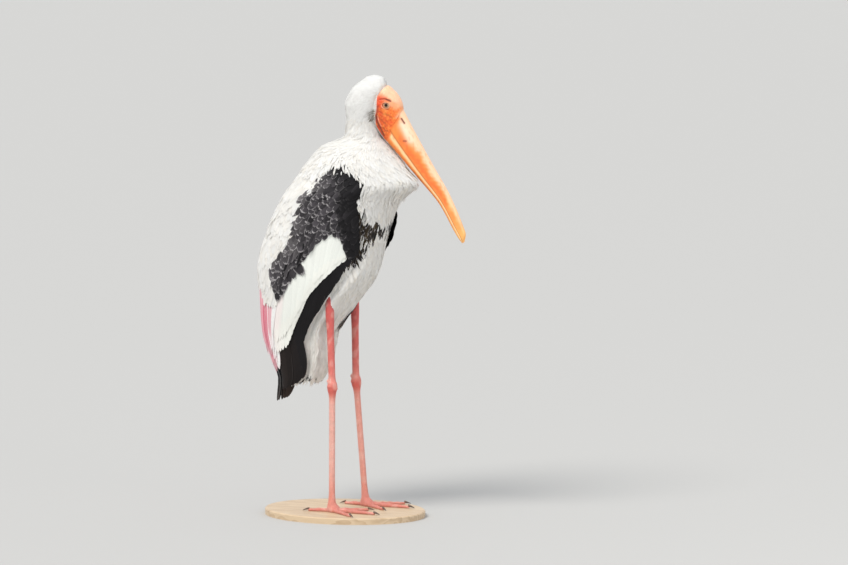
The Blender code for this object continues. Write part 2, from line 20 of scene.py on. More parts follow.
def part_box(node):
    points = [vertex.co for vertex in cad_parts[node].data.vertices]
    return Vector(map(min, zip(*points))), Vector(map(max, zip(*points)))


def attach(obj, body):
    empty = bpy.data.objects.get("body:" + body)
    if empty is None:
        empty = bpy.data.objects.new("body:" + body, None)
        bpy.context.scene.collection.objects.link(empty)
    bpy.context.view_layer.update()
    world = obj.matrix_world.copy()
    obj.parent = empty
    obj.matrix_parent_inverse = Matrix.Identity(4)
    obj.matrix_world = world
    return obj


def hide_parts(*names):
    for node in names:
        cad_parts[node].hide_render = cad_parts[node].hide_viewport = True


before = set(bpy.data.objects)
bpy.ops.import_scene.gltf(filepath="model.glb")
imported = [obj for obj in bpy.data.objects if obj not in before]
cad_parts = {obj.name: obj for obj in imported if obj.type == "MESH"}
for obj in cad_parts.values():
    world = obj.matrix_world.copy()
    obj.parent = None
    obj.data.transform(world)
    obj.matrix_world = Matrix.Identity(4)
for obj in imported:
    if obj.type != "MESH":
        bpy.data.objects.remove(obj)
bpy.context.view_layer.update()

Array = np.ndarray
Triple = tuple[float, float, float]
Colour = Triple
log = logging.getLogger("painted_stork")

TURN = 2 * math.pi

SOLE_REACH_BACK = 0.0100  # from a foot's middle to the back of its sole
ORIGIN = np.array([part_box("foot_right")[0].x + SOLE_REACH_BACK, 0.0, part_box("foot_right")[0].z])
BAKE_PATCH = 0.003  # how wide each feather lies on the coat's own map

# ---------------------------------------------------------------- curves


def smooth_curve(at: Array, knots: Array, values: Array) -> Array:
    """A monotone cubic through given knots: no overshoot between them.

    Args:
        at: Places to read, any shape.
        knots: Increasing places of the knots.
        values: The value at each knot.

    Returns:
        The values at the places, in the shape of at.
    """
    knots, values = np.asarray(knots, float), np.asarray(values, float)
    slopes = np.diff(values) / np.diff(knots)
    before, after = slopes[:-1], slopes[1:]
    same_way = before * after > 0
    inner = np.where(same_way, 2 * before * after / np.where(same_way, before + after, 1), 0)
    tangents = np.concatenate([slopes[:1], inner, slopes[-1:]])
    at = np.clip(np.asarray(at, float), knots[0], knots[-1])
    span = np.clip(np.searchsorted(knots, at) - 1, 0, len(slopes) - 1)
    width = knots[span + 1] - knots[span]
    t = (at - knots[span]) / width
    return ((2 * t**3 - 3 * t**2 + 1) * values[span] + (t**3 - 2 * t**2 + t) * width * tangents[span]
            + (3 * t**2 - 2 * t**3) * values[span + 1] + (t**3 - t**2) * width * tangents[span + 1])


def smooth_step(value: Array, low: float, high: float) -> Array:
    """0 below low, 1 above high, and the S-curve 3t^2 - 2t^3 between."""
    t = np.clip((np.asarray(value, float) - low) / (high - low), 0, 1)
    return t * t * (3 - 2 * t)


def bell(value: Array, width: float) -> Array:
    """A bump of height 1 at 0: exp(-(value / width)^2)."""
    return np.exp(-((value / width) ** 2))


def unit(vectors: Array) -> Array:
    """The same directions with length 1."""
    return vectors / np.maximum(np.linalg.norm(vectors, axis=-1, keepdims=True), 1e-9)


def ripple(points: Array, wavelength: float, seed: int) -> Array:
    """Smooth unevenness from -1 to 1: the mean of sine waves that run through space in random directions.

    Args:
        points: Places, an array (..., 2 or 3).
        wavelength: Mean length of a wave, in the points' unit.
        seed: Seed of the directions.

    Returns:
        One value for each place.
    """
    rng = np.random.default_rng(seed)
    waves = 7
    ways = unit(rng.normal(size=(waves, points.shape[-1]))) * rng.uniform(0.7, 1.4, (waves, 1))
    phases = rng.uniform(0, TURN, waves)
    return np.sin(points @ ways.T * (TURN / wavelength) + phases).mean(axis=-1) * 2


def inside(outline: Array, height: Array, degrees: Array) -> Array:
    """Whether places lie inside an outline, by the even-odd rule over its edges.

    Args:
        outline: Corners (height, degrees), an array (corners, 2).
        height: Heights of the places.
        degrees: Degrees from the breast, 0 to 180.

    Returns:
        An array of booleans.
    """
    result = np.zeros(np.broadcast(height, degrees).shape, bool)
    for (h0, d0), (h1, d1) in zip(outline, np.roll(outline, -1, axis=0)):
        if h0 != h1:
            result ^= ((h0 > height) != (h1 > height)) & (degrees < (d1 - d0) * (height - h0) / (h1 - h0) + d0)
    return result


# ---------------------------------------------------------------- forms

HEAD_TURN, NECK_AXIS = 10.0, 0.020  # the head's turn to the bird's left, about an upright line in the neck


def turn_head(points: Array, share: Array | float = 1.0) -> Array:
    """Points turned about the neck's upright line by a share of the head's turn."""
    angle = np.radians(HEAD_TURN) * share
    forward = points[..., 0] - NECK_AXIS
    return np.stack([NECK_AXIS + forward * np.cos(angle) - points[..., 1] * np.sin(angle),
                     forward * np.sin(angle) + points[..., 1] * np.cos(angle), points[..., 2]], axis=-1)


@dataclass(frozen=True)
class BodyForm:
    """The feathered outline: level rings from vent to crown, each a superellipse.

    Its two parameters are height and degrees round from the breast line, negative on the bird's right.
    """

    # Level rings from below: height, breast line, back line, half width.
    sections: tuple = (
        (0.205, -0.084, -0.136, 0.030), (0.240, -0.048, -0.134, 0.044), (0.285, -0.024, -0.151, 0.056),
        (0.340, -0.013, -0.164, 0.067), (0.391, 0.024, -0.168, 0.079), (0.455, 0.070, -0.171, 0.090),
        (0.533, 0.091, -0.149, 0.095), (0.597, 0.118, -0.117, 0.094), (0.628, 0.151, -0.094, 0.090),
        (0.660, 0.128, -0.070, 0.080), (0.694, 0.097, -0.040, 0.057), (0.717, 0.076, 0.006, 0.036),
        (0.745, 0.069, 0.009, 0.032), (0.775, 0.080, 0.007, 0.033), (0.805, 0.090, 0.020, 0.029),
        (0.825, 0.084, 0.044, 0.016), (0.829, 0.0784, 0.0496, 0.0115), (0.8312, 0.0708, 0.0572, 0.0054),
        (0.8320, 0.0655, 0.0625, 0.0010))
    ruff_height: float = 0.633  # where the breast plumes come to their point
    turn_start: float = 0.640
    turn_end: float = 0.740
    wing_depth: float = 0.0117
    tail_depth: float = 0.011
    # The folded wing's front edge: heights, then degrees from the breast line.
    wing_front: tuple = ((0.24, 0.30, 0.38, 0.43, 0.46, 0.50, 0.56, 0.61, 0.645, 0.70),
                         (46, 46, 46, 42, 36, 30, 36, 46, 59, 78))
    recessed: bool = False  # follow the trunk under the wings instead of the wings' outside
    lifted: bool = False  # carry the wrist away from the breast, as on the left wing
    wrist_height: float = 0.545
    wrist_out: Triple = (0.019, 0.010, 0.0)
    steps: tuple = (0.0006, 0.5)  # small steps of height and degrees, to read slopes with

    def reach_at(self, height: Array) -> tuple[Array, Array, Array, Array]:
        """The breast line, back line, half width and centre at given heights."""
        knots, *lines = np.array(self.sections).T
        front, back, half_width = (smooth_curve(height, knots, line) for line in lines)
        return front, back, half_width, back + 0.42 * (front - back)

    def wing_room(self, height: Array, degrees: Array) -> Array:
        """How far the trunk lies inside the outline under a wing: less towards the wing's top."""
        degrees = np.abs((degrees + 180) % 360 - 180)
        edge = smooth_curve(height, *self.wing_front)
        top = 0.670 + 0.026 * smooth_step(degrees, 80, 105)
        covered = smooth_step(degrees - edge, -8, 0)
        return self.wing_depth * covered * (1 - smooth_step(height - top, -0.030, 0.028))

    def recess(self, height: Array, degrees: Array) -> Array:
        """How far the trunk lies inside the outline in all: the wing's room and, behind the vent, the tail's."""
        rear = smooth_step(np.abs((degrees + 180) % 360 - 180), 112, 128)
        under_tail = rear * (1 - smooth_step(height, 0.335, 0.375))
        return self.wing_room(height, degrees) + self.tail_depth * under_tail

    def point(self, height: Array, degrees: Array, inset: Array | float = 0.0) -> Array:
        """A place on the outline, moved in by inset.

        The ring's radius along an angle is (|cos|^p + |sin|^p)^(-1/p) times its reach there. Power p falls at
        the ruff, so that the breast comes to a ridge.

        Args:
            height: Heights above the soles.
            degrees: Degrees from the breast line.
            inset: Distance inside the outline.

        Returns:
            Points, an array (..., 3).
        """
        height, degrees, inset = np.broadcast_arrays(height, degrees, inset)
        over = height > self.sections[-1][0]  # past the crown's middle a line goes on down the other side
        height = np.where(over, 2 * self.sections[-1][0] - height, height)
        degrees = np.where(over, degrees + 180, degrees)
        if self.recessed:
            inset = inset + self.recess(height, degrees)
        front, back, half_width, centre = self.reach_at(height)
        angle = np.radians(degrees)
        across, along = np.sin(angle), np.cos(angle)
        ridge = 2.05 - 0.45 * bell(height - self.ruff_height, 0.035)
        power = np.where(along > 0, ridge, 2.1)
        reach = np.where(along > 0, front - centre, centre - back)
        radius = (np.abs(along) ** power + np.abs(across) ** power) ** (-1 / power)
        shrink = np.maximum(1 - inset / np.maximum(np.hypot(reach * along, half_width * across), 1e-6), 0.02)
        points = np.stack([centre + reach * along * radius * shrink, half_width * across * radius * shrink,
                           height.astype(float)], axis=-1)
        points = turn_head(points, smooth_step(height, self.turn_start, self.turn_end))
        if self.lifted:
            lift = bell(height - self.wrist_height, 0.060) * (1 - smooth_step(np.abs(degrees), 45, 90))
            points = points + lift[..., None] * np.array(self.wrist_out)
        return points + ORIGIN

    def normal(self, height: Array, degrees: Array) -> Array:
        """Outward directions: the cross product of the steps round the ring and up it."""
        over = np.where(np.asarray(height) > self.sections[-1][0], -1.0, 1.0)
        return form_normal(self, height, degrees) * over[..., None]

    def unwrap(self, height: Array, degrees: Array) -> Array:
        """The place on the coat's own map: round the ring, and up the bird."""
        return np.stack([degrees % 360 / 360, (height - 0.19) / 0.65], axis=-1) * 0.97 + 0.015


@dataclass(frozen=True)
class FaceForm:
    """The bare face: upright sections from inside the feathered head to the bill's base.

    Its parameters are the share from back to front and degrees round each section, 0 at the top and positive on
    the bird's left.
    """

    # Head plane: (forward, height) of each section's top and bottom, and its half width.
    sections: tuple = (
        ((0.079, 0.812), (0.052, 0.757), 0.021), ((0.0900, 0.8125), (0.0545, 0.7490), 0.0245),
        ((0.1004, 0.8049), (0.0600, 0.7405), 0.0255), ((0.1083, 0.7973), (0.0660, 0.7325), 0.0240),
        ((0.1144, 0.7877), (0.0725, 0.7240), 0.0215), ((0.1185, 0.7781), (0.0800, 0.7150), 0.0190),
        ((0.1199, 0.7684), (0.0885, 0.7060), 0.0172))
    power: float = 2.15
    steps: tuple = (0.01, 1.0)  # small steps of share and degrees, to read slopes with

    def plane_point(self, share: Array, degrees: Array, inset: Array | float = 0.0) -> Array:
        """A place before the head's turn: forward, across and height.

        Each section is a superellipse about the middle of its top and bottom.

        Args:
            share: 0 at the back, 1 at the bill.
            degrees: Degrees round the section.
            inset: Distance inside the face.

        Returns:
            Points, an array (..., 3).
        """
        share, degrees, inset = np.broadcast_arrays(share, degrees, inset)
        table = np.array([(*top, *bottom, half) for top, bottom, half in self.sections])
        knots = np.linspace(0, 1, len(table))
        top_x, top_z, low_x, low_z, half = (smooth_curve(share, knots, table[:, i]) for i in range(5))
        angle = np.radians(degrees)
        along, across = np.cos(angle), np.sin(angle)
        radius = (np.abs(along) ** self.power + np.abs(across) ** self.power) ** (-1 / self.power)
        half_x, half_z = (top_x - low_x) / 2, (top_z - low_z) / 2
        shrink = 1 - inset / np.hypot(half_x, half_z)
        return np.stack([(top_x + low_x) / 2 + along * radius * shrink * half_x, across * radius * (half - inset),
                         (top_z + low_z) / 2 + along * radius * shrink * half_z], axis=-1)

    def point(self, share: Array, degrees: Array, inset: Array | float = 0.0) -> Array:
        """A place on the face in the model's frame."""
        return turn_head(self.plane_point(share, degrees, inset)) + ORIGIN

    def normal(self, share: Array, degrees: Array) -> Array:
        """Outward directions from the steps round a section and back along the face."""
        return -form_normal(self, share, degrees)

    def unwrap(self, share: Array, degrees: Array) -> Array:
        """The place on the coat's own map: round the section, and along the face."""
        return np.stack([degrees % 360 / 360, share], axis=-1) * 0.97 + 0.015


Form = BodyForm | FaceForm


def form_slopes(form: Form, a: Array, b: Array) -> tuple[Array, Array]:
    """How a place moves with a form's first and with its second parameter, over two small steps."""
    step_a, step_b = form.steps
    return (form.point(a + step_a, b) - form.point(a - step_a, b),
            form.point(a, b + step_b) - form.point(a, b - step_b))


def form_normal(form: Form, a: Array, b: Array) -> Array:
    """Unit cross product of a form's slopes along its second and its first parameter."""
    along_a, along_b = form_slopes(form, a, b)
    return unit(np.cross(along_b, along_a))


OUTLINE = BodyForm()
TRUNK = BodyForm(recessed=True)
FACE = FaceForm()


@dataclass(frozen=True)
class WingMap:
    """Borders between the folded wing's feather groups: corners (height, degrees from the breast)."""

    shoulder: tuple = ((0.507, 36), (0.530, 38), (0.575, 45), (0.620, 56), (0.652, 67), (0.667, 79), (0.662, 91),
                       (0.648, 104), (0.610, 109), (0.567, 103), (0.537, 102), (0.502, 117), (0.480, 125),
                       (0.456, 118), (0.430, 110))
    covert_tips: tuple = ((0.507, 45.5), (0.545, 53), (0.551, 65), (0.534, 73), (0.507, 80), (0.486, 90),
                          (0.464, 95), (0.430, 101))
    greater_tips: tuple = ((0.502, 45.5), (0.482, 46.5), (0.472, 52), (0.454, 59), (0.425, 67), (0.400, 71.5),
                           (0.344, 74), (0.311, 84), (0.297, 107))
    wing_edge: tuple = ((0.502, 36), (0.480, 38), (0.462, 46), (0.430, 50), (0.380, 53), (0.330, 57), (0.300, 63),
                        (0.272, 59), (0.252, 55), (0.243, 64), (0.234, 82), (0.226, 112))
    # The tertials' lines of roots and tips.
    tertial_roots: tuple = ((0.432, 101.6), (0.440, 125), (0.452, 150), (0.455, 179.8))
    tertial_tips: tuple = ((0.300, 107), (0.272, 109.5), (0.247, 113), (0.247, 122), (0.262, 140), (0.286, 162),
                           (0.312, 179.8))
    breast_band: tuple = ((0.622, 50), (0.586, 38), (0.571, 28), (0.571, 0), (0.549, 0), (0.550, 12.5),
                          (0.533, 23.5), (0.513, 27), (0.490, 34), (0.488, 50))
    # The far wing's last quills under the belly: roots, then tips.
    far_tip: tuple = (((0.399, 27), (0.391, 33)), ((0.339, -3), (0.345, 7)))
    flank_radius: float = 0.090  # turns degrees round the flank into a length

    @property
    def dark_coverts(self) -> Array:
        """The outline of the dark coverts."""
        return self.between(self.shoulder, self.covert_tips)

    @property
    def front(self) -> tuple:
        """The shoulder's border towards the breast."""
        return self.shoulder[:6]

    @property
    def rear(self) -> tuple:
        """The shoulder's border towards the back."""
        return self.shoulder[7:]

    @staticmethod
    def between(upper: Sequence, lower: Sequence) -> Array:
        """The outline of the area between two borders that run the same way."""
        return np.array([*upper, *lower[::-1]], float)

    def line(self, border: Sequence, share: Array) -> tuple[Array, Array]:
        """(heights, degrees) at shares 0 to 1 of a border's length."""
        heights, degrees = np.array(border, float).T
        steps = np.hypot(np.diff(heights), np.radians(np.diff(degrees)) * self.flank_radius)
        knots = np.concatenate([[0], np.cumsum(steps)]) / steps.sum()
        return smooth_curve(share, knots, heights), smooth_curve(share, knots, degrees)


WING = WingMap()

# ---------------------------------------------------------------- making meshes


def linked(name: str, data: bpy.types.ID) -> bpy.types.Object:
    """A new object of the scene with the given data."""
    made = bpy.data.objects.new(name, data)
    bpy.context.scene.collection.objects.link(made)
    return made


@dataclass
class MeshSheet:
    """Gathers closed bodies, each a stack of rings, and makes one mesh of them."""

    points: list[Array] = field(default_factory=list)
    corners: list[Array] = field(default_factory=list)
    sizes: list[Array] = field(default_factory=list)
    vanes: list[Array] = field(default_factory=list)
    patches: list[Array] = field(default_factory=list)
    tints: list[Array] = field(default_factory=list)
    normals: list[Array] = field(default_factory=list)
    uppers: list[Array] = field(default_factory=list)
    count: int = 0

    def add(self, rings: Array, tint: Array | None = None, vane: Array | None = None,
            patch: Array | None = None, normal: Array | None = None) -> None:
        """Adds bodies: side faces between following rings, and a cap on the first and last ring.

        Args:
            rings: Points, an array (bodies, rings, around, 3).
            tint: Colour and fringe, an array (bodies, rings, around, 4).
            vane: Place across and along the feather, an array (bodies, rings, around, 2).
            patch: Place on the coat's map, an array (bodies, rings, around, 2).
            normal: Direction for shading the first half of each ring, an array (bodies, rings, around, 3).
        """
        bodies, levels, around = rings.shape[:3]
        index = np.arange(bodies * levels * around).reshape(bodies, levels, around)
        beside = np.roll(index, -1, axis=2)
        sides = np.stack([index[:, :-1], beside[:, :-1], beside[:, 1:], index[:, 1:]], axis=-1).reshape(-1, 4)
        faces = [sides, *self.cap(np.concatenate([index[:, 0, ::-1], index[:, -1]]))]
        if self.turned_in(rings.reshape(-1, 3), sides):
            faces = [group[:, ::-1] for group in faces]
        self.corners.append(np.concatenate([group.ravel() for group in faces]) + self.count)
        self.sizes.append(np.concatenate([np.full(len(group), group.shape[1]) for group in faces]))
        if normal is not None:
            upper = np.broadcast_to(np.arange(around) < around // 2, (bodies, levels - 1, around))
            ends = sum(group.size for group in faces[1:])
            self.uppers.append(np.concatenate([np.repeat(upper.ravel(), 4), np.zeros(ends, bool)]))
        self.points.append(rings.reshape(-1, 3))
        for store, values, width in ((self.tints, tint, 4), (self.vanes, vane, 2), (self.patches, patch, 2),
                                     (self.normals, normal, 3)):
            if values is not None:
                store.append(np.broadcast_to(values, (*rings.shape[:3], width)).reshape(-1, width))
        self.count += rings[..., 0].size

    @staticmethod
    def cap(rings: Array) -> list[Array]:
        """Faces that close rings (rings, around): a triangle, then a strip of quads from side to side."""
        around = rings.shape[1]
        strip = [rings[:, [j, j + 1, around - j - 1, around - j]] for j in range(1, (around - 1) // 2)]
        ends = [rings[:, [0, 1, around - 1]]]
        if around % 2 == 0:
            ends.append(rings[:, [around // 2 - 1, around // 2, around // 2 + 1]])
        return [np.concatenate(group) for group in (strip, ends) if group]

    @staticmethod
    def turned_in(points: Array, sides: Array) -> bool:
        """True if the faces point inwards, by the sign of the volume under them."""
        a, b, c, d = (points[sides[:, i]] - points.mean(axis=0) for i in range(4))
        return float(np.einsum("ij,ij->", np.cross(a, b) + np.cross(b, c) + np.cross(c, d) + np.cross(d, a),
                               a + b + c + d)) < 0

    def make(self, name: str, sharp: float = 60.0) -> bpy.types.Object:
        """Makes the mesh object.

        Args:
            name: Name of the piece.
            sharp: Angle in degrees past which an edge is shaded sharp.

        Returns:
            The object, linked to the scene.
        """
        mesh = bpy.data.meshes.new(name)
        points, corners, sizes = (np.concatenate(part) for part in (self.points, self.corners, self.sizes))
        mesh.vertices.add(len(points))
        mesh.vertices.foreach_set("co", points.astype(np.float32).ravel())
        mesh.loops.add(len(corners))
        mesh.loops.foreach_set("vertex_index", corners.astype(np.int32))
        mesh.polygons.add(len(sizes))
        mesh.polygons.foreach_set("loop_start", np.concatenate([[0], np.cumsum(sizes)[:-1]]).astype(np.int32))
        mesh.update(calc_edges=True)
        for label, maps in (("Vane", self.vanes), ("OFBake", self.patches)):
            if maps:
                layer = mesh.uv_layers.new(name=label)
                layer.uv.foreach_set("vector", np.concatenate(maps)[corners].astype(np.float32).ravel())
        if self.tints:
            layer = mesh.color_attributes.new("Tint", "FLOAT_COLOR", "POINT")
            layer.data.foreach_set("color", np.concatenate(self.tints).astype(np.float32).ravel())
        mesh.shade_smooth()
        mesh.set_sharp_from_angle(angle=math.radians(sharp))
        if self.normals:
            given = np.concatenate(self.normals)[corners] * np.concatenate(self.uppers)[:, None]
            mesh.normals_split_custom_set(given.astype(np.float32))
        return linked(name, mesh)


def blend_colours(first: Array, *layers: tuple[Colour | Array, Array]) -> Array:
    """Colours with layers laid over them in turn, each a colour and its share for each place."""
    for second, share in layers:
        first = first + (np.asarray(second) - first) * np.asarray(share)[..., None]
    return first


def spread_colour(colour: Colour, shape: tuple[int, ...]) -> Array:
    """One colour everywhere, an array (*shape, 3)."""
    return np.broadcast_to(np.array(colour), (*shape, 3))


def with_fringe(colours: Array, fringe: Array | float = 0.0) -> Array:
    """Colours with the strength of the pale fringe as a fourth number."""
    return np.concatenate([colours, np.broadcast_to(fringe, (*colours.shape[:-1], 1))], axis=-1)


# ---------------------------------------------------------------- feathers


@dataclass(frozen=True)
class Cut:
    """The cut of one kind of feather. Lengths in metres, angles in degrees."""

    length: float
    width: float
    rows: int = 5
    columns: int = 3
    fullness: float = 4.0  # high is round-ended, low is a lance
    root_width: float = 0.35  # share of the full width at the root
    root_depth: float = 0.004  # how far the root lies inside the outline
    tip_depth: float = 0.0006
    cup: float = 0.18  # how far the edges bend in, as a share of the half width
    thickness: float = 0.0004
    spread: float = 8.0  # random turn
    unevenness: float = 0.15  # random share of the length
    roll: float = 0.0  # turn about its own length, which lays one over the next like tiles
    fray: float = 0.0  # how far the barbs part at the tip
    softness: float = 0.6  # how far the shading follows the body under the feather

    def stations(self) -> Array:
        """Shares of the length at which the rows lie, closer together towards the tip."""
        return 1 - (1 - np.linspace(0, 1, self.rows)) ** 1.45

    def outline(self) -> Array:
        """Half width at each row: it widens over the first third, then closes as (1 - s^fullness)^0.6."""
        s = self.stations()
        opening = self.root_width + (1 - self.root_width) * smooth_step(s, 0, 0.35)
        return np.maximum(opening * (1 - s**self.fullness) ** 0.6, 0.30 if self.fray else 0.05) * self.width / 2


@dataclass
class Feathers:
    """A batch of feathers of one cut as lines over a form, arrays (feathers, rows)."""

    form: Form
    cut: Cut
    a: Array
    b: Array
    depth: Array
    size: Array
    roll: Array
    loose_roll: ClassVar[float] = 3.5  # random degrees of roll of scattered feathers
    row_roll: ClassVar[float] = 1.5  # the same for feathers side by side

    @classmethod
    def grow(cls, form: Form, a: Array, b: Array, lie: Array, cut: Cut, rng: np.random.Generator,
             size: Array | float = 1.0) -> "Feathers":
        """Feathers that start at places on a form and lie along its surface.

        A feather runs from its root by its length along the lie: cos of it down the form's first parameter, sin
        of it round the second, each over the length of a step there.

        Args:
            form: The form they lie on.
            a: First parameter of each root.
            b: Second parameter of each root.
            lie: Degrees from straight down, positive towards the back.
            cut: Their cut.
            rng: Source of their unevenness.
            size: Scale of each feather.

        Returns:
            The batch.
        """
        count = len(a)
        size = np.broadcast_to(size, count) * (1 + cut.unevenness * rng.uniform(-1, 1, count))
        angle = np.radians(lie + cut.spread * rng.normal(size=count))
        pace_a, pace_b = (np.linalg.norm(slope, axis=-1) / (2 * step)
                          for slope, step in zip(form_slopes(form, a, b), form.steps))
        run = cut.length * size[:, None] * cut.stations()
        side = np.where(b < 0, -1, 1)
        path_a = a[:, None] - np.cos(angle)[:, None] * run / np.maximum(pace_a, 0.2)[:, None]
        path_b = b[:, None] + (side * np.sin(angle))[:, None] * run / np.maximum(pace_b, 2e-4)[:, None]
        return cls(form, cut, path_a, path_b, cls.depths(cut, count, rng), size,
                   np.full(count, cut.roll) * side + cls.loose_roll * rng.normal(size=count))

    @classmethod
    def span(cls, form: Form, start: tuple[Array, Array], end: tuple[Array, Array], cut: Cut,
             rng: np.random.Generator) -> "Feathers":
        """Feathers from given roots to given tips."""
        count = len(start[0])
        path_a, path_b = (root[:, None] + (tip - root)[:, None] * cut.stations() for root, tip in zip(start, end))
        size = 1 + cut.unevenness * rng.uniform(-1, 1, count)
        return cls(form, cut, path_a, path_b, cls.depths(cut, count, rng), size,
                   cut.roll * np.where(start[1] < 0, -1, 1) + cls.row_roll * rng.normal(size=count))

    @staticmethod
    def depths(cut: Cut, count: int, rng: np.random.Generator) -> Array:
        """Depth inside the outline along each feather, from root to tip, with a little unevenness."""
        s = cut.stations()
        path = cut.root_depth + (cut.tip_depth - cut.root_depth) * s**0.7
        return path + 0.10 * cut.root_depth * rng.normal(size=(count, 1)) * np.ones_like(s)

    def rings(self) -> tuple[Array, Array]:
        """Closed rings round each vane: a cupped top sheet and a bottom sheet that share both edges.

        Across the vane at share c from -1 to 1 the top is the middle line + side * w c - normal * cup w c^2 +
        normal * half thickness * sqrt(1 - c^2), and the bottom has the last sign turned.

        Returns:
            Points and shading directions, arrays (feathers, rows, around, 3).
        """
        cut = self.cut
        centre = self.form.point(self.a, self.b, self.depth)
        tangent = unit(np.gradient(centre, axis=1))
        outward = self.form.normal(self.a, self.b)
        side = unit(np.cross(outward, tangent))
        normal = np.cross(tangent, side)
        turn = np.radians(self.roll)[:, None, None]
        side, normal = side * np.cos(turn) + normal * np.sin(turn), normal * np.cos(turn) - side * np.sin(turn)
        width = cut.outline() * self.size[:, None]
        c = np.linspace(-1, 1, cut.columns)
        sheet = centre[:, :, None] + side[:, :, None] * (width[..., None] * c)[..., None]
        sag = (cut.cup * width[..., None] * c**2)[..., None]
        half = (cut.thickness / 2 * np.sqrt(1 - c**2))[:, None]
        if cut.fray:
            rng = np.random.default_rng(len(self.a))
            part = rng.uniform(-1, 1, (len(self.a), 1, cut.columns)) * cut.fray * self.size[:, None, None]
            sheet = sheet + tangent[:, :, None] * (part * cut.stations()[:, None] ** 5)[..., None]
        top = sheet - normal[:, :, None] * (sag - half)
        bottom = sheet - normal[:, :, None] * (sag + half)
        shade = unit(normal[:, :, None] * (1 - cut.softness) + outward[:, :, None] * cut.softness
                     + side[:, :, None] * (0.22 * c)[:, None])
        return (np.concatenate([top, bottom[:, :, -2:0:-1]], axis=2),
                np.concatenate([shade, -shade[:, :, -2:0:-1]], axis=2))

    def into(self, sheet: MeshSheet, tint: Array) -> None:
        """Adds the batch to a mesh with its colours (feathers, rows, 4) and both its maps."""
        cut = self.cut
        across = np.linspace(0, 1, cut.columns)
        across = np.concatenate([across, across[-2:0:-1]])
        count, around = len(self.a), len(across)
        vane = np.stack(np.broadcast_arrays(across[None, None, :], cut.stations()[None, :, None]), axis=-1)
        vane = np.broadcast_to(vane, (count, cut.rows, around, 2))
        patch = self.form.unwrap(self.a[:, :1], self.b[:, :1])[:, :, None] + BAKE_PATCH * (vane - 0.5)
        rings, shade = self.rings()
        sheet.add(rings, np.repeat(tint[:, :, None], around, axis=2), vane, patch, shade)


def scatter(form: Form, spacing: float | Callable[[Array], Array], low: float, high: float,
            start: float = -180.0, end: float = 180.0) -> tuple[Array, Array]:
    """Even places over a form, one for each spacing squared of its area.

    The area is summed over a fine grid, weighted by 1 / spacing^2. A two-dimensional golden-ratio sequence is
    then read through the sums, first along the first parameter and then round it.

    Args:
        form: The form to cover.
        spacing: Distance between neighbours, or a function that gives it at first parameters.
        low: Lowest first parameter.
        high: Highest first parameter.
        start: Lowest second parameter.
        end: Highest second parameter.

    Returns:
        The first and second parameter of each place.
    """
    rows, columns = 220, 360
    a = np.linspace(low, high, rows + 1)
    b = np.linspace(start, end, columns + 1)
    corners = form.point(a[:, None], b[None, :])
    rising, falling = corners[1:, 1:] - corners[:-1, :-1], corners[1:, :-1] - corners[:-1, 1:]
    area = np.linalg.norm(np.cross(rising, falling), axis=-1) / 2
    if callable(spacing):
        spacing = spacing((a[1:, None] + a[:-1, None]) / 2)
    weight = area / spacing**2
    number = np.arange(int(weight.sum()))
    golden = 1.32471795724  # the plastic number, the two-dimensional golden ratio
    first, second = (0.5 + number / golden) % 1, (0.5 + number / golden**2) % 1
    sums = np.concatenate([[0], np.cumsum(weight.sum(axis=1))])
    place = np.interp(first * sums[-1], sums, np.arange(rows + 1))
    row = np.minimum(place.astype(int), rows - 1)
    share = np.cumsum(weight, axis=1)
    share = np.concatenate([np.zeros((rows, 1)), share], axis=1) / np.maximum(share[:, -1:], 1e-12)
    flat = (share + 2 * np.arange(rows)[:, None]).ravel()
    found = np.clip(np.searchsorted(flat, second + 2 * row), row * (columns + 1) + 1, row * (columns + 1) + columns)
    before, after = flat[found - 1], flat[found]
    column = found - 1 - row * (columns + 1) + (second + 2 * row - before) / np.maximum(after - before, 1e-9)
    return np.interp(place, np.arange(rows + 1), a), np.interp(column, np.arange(columns + 1), b)


# ---------------------------------------------------------------- finishes


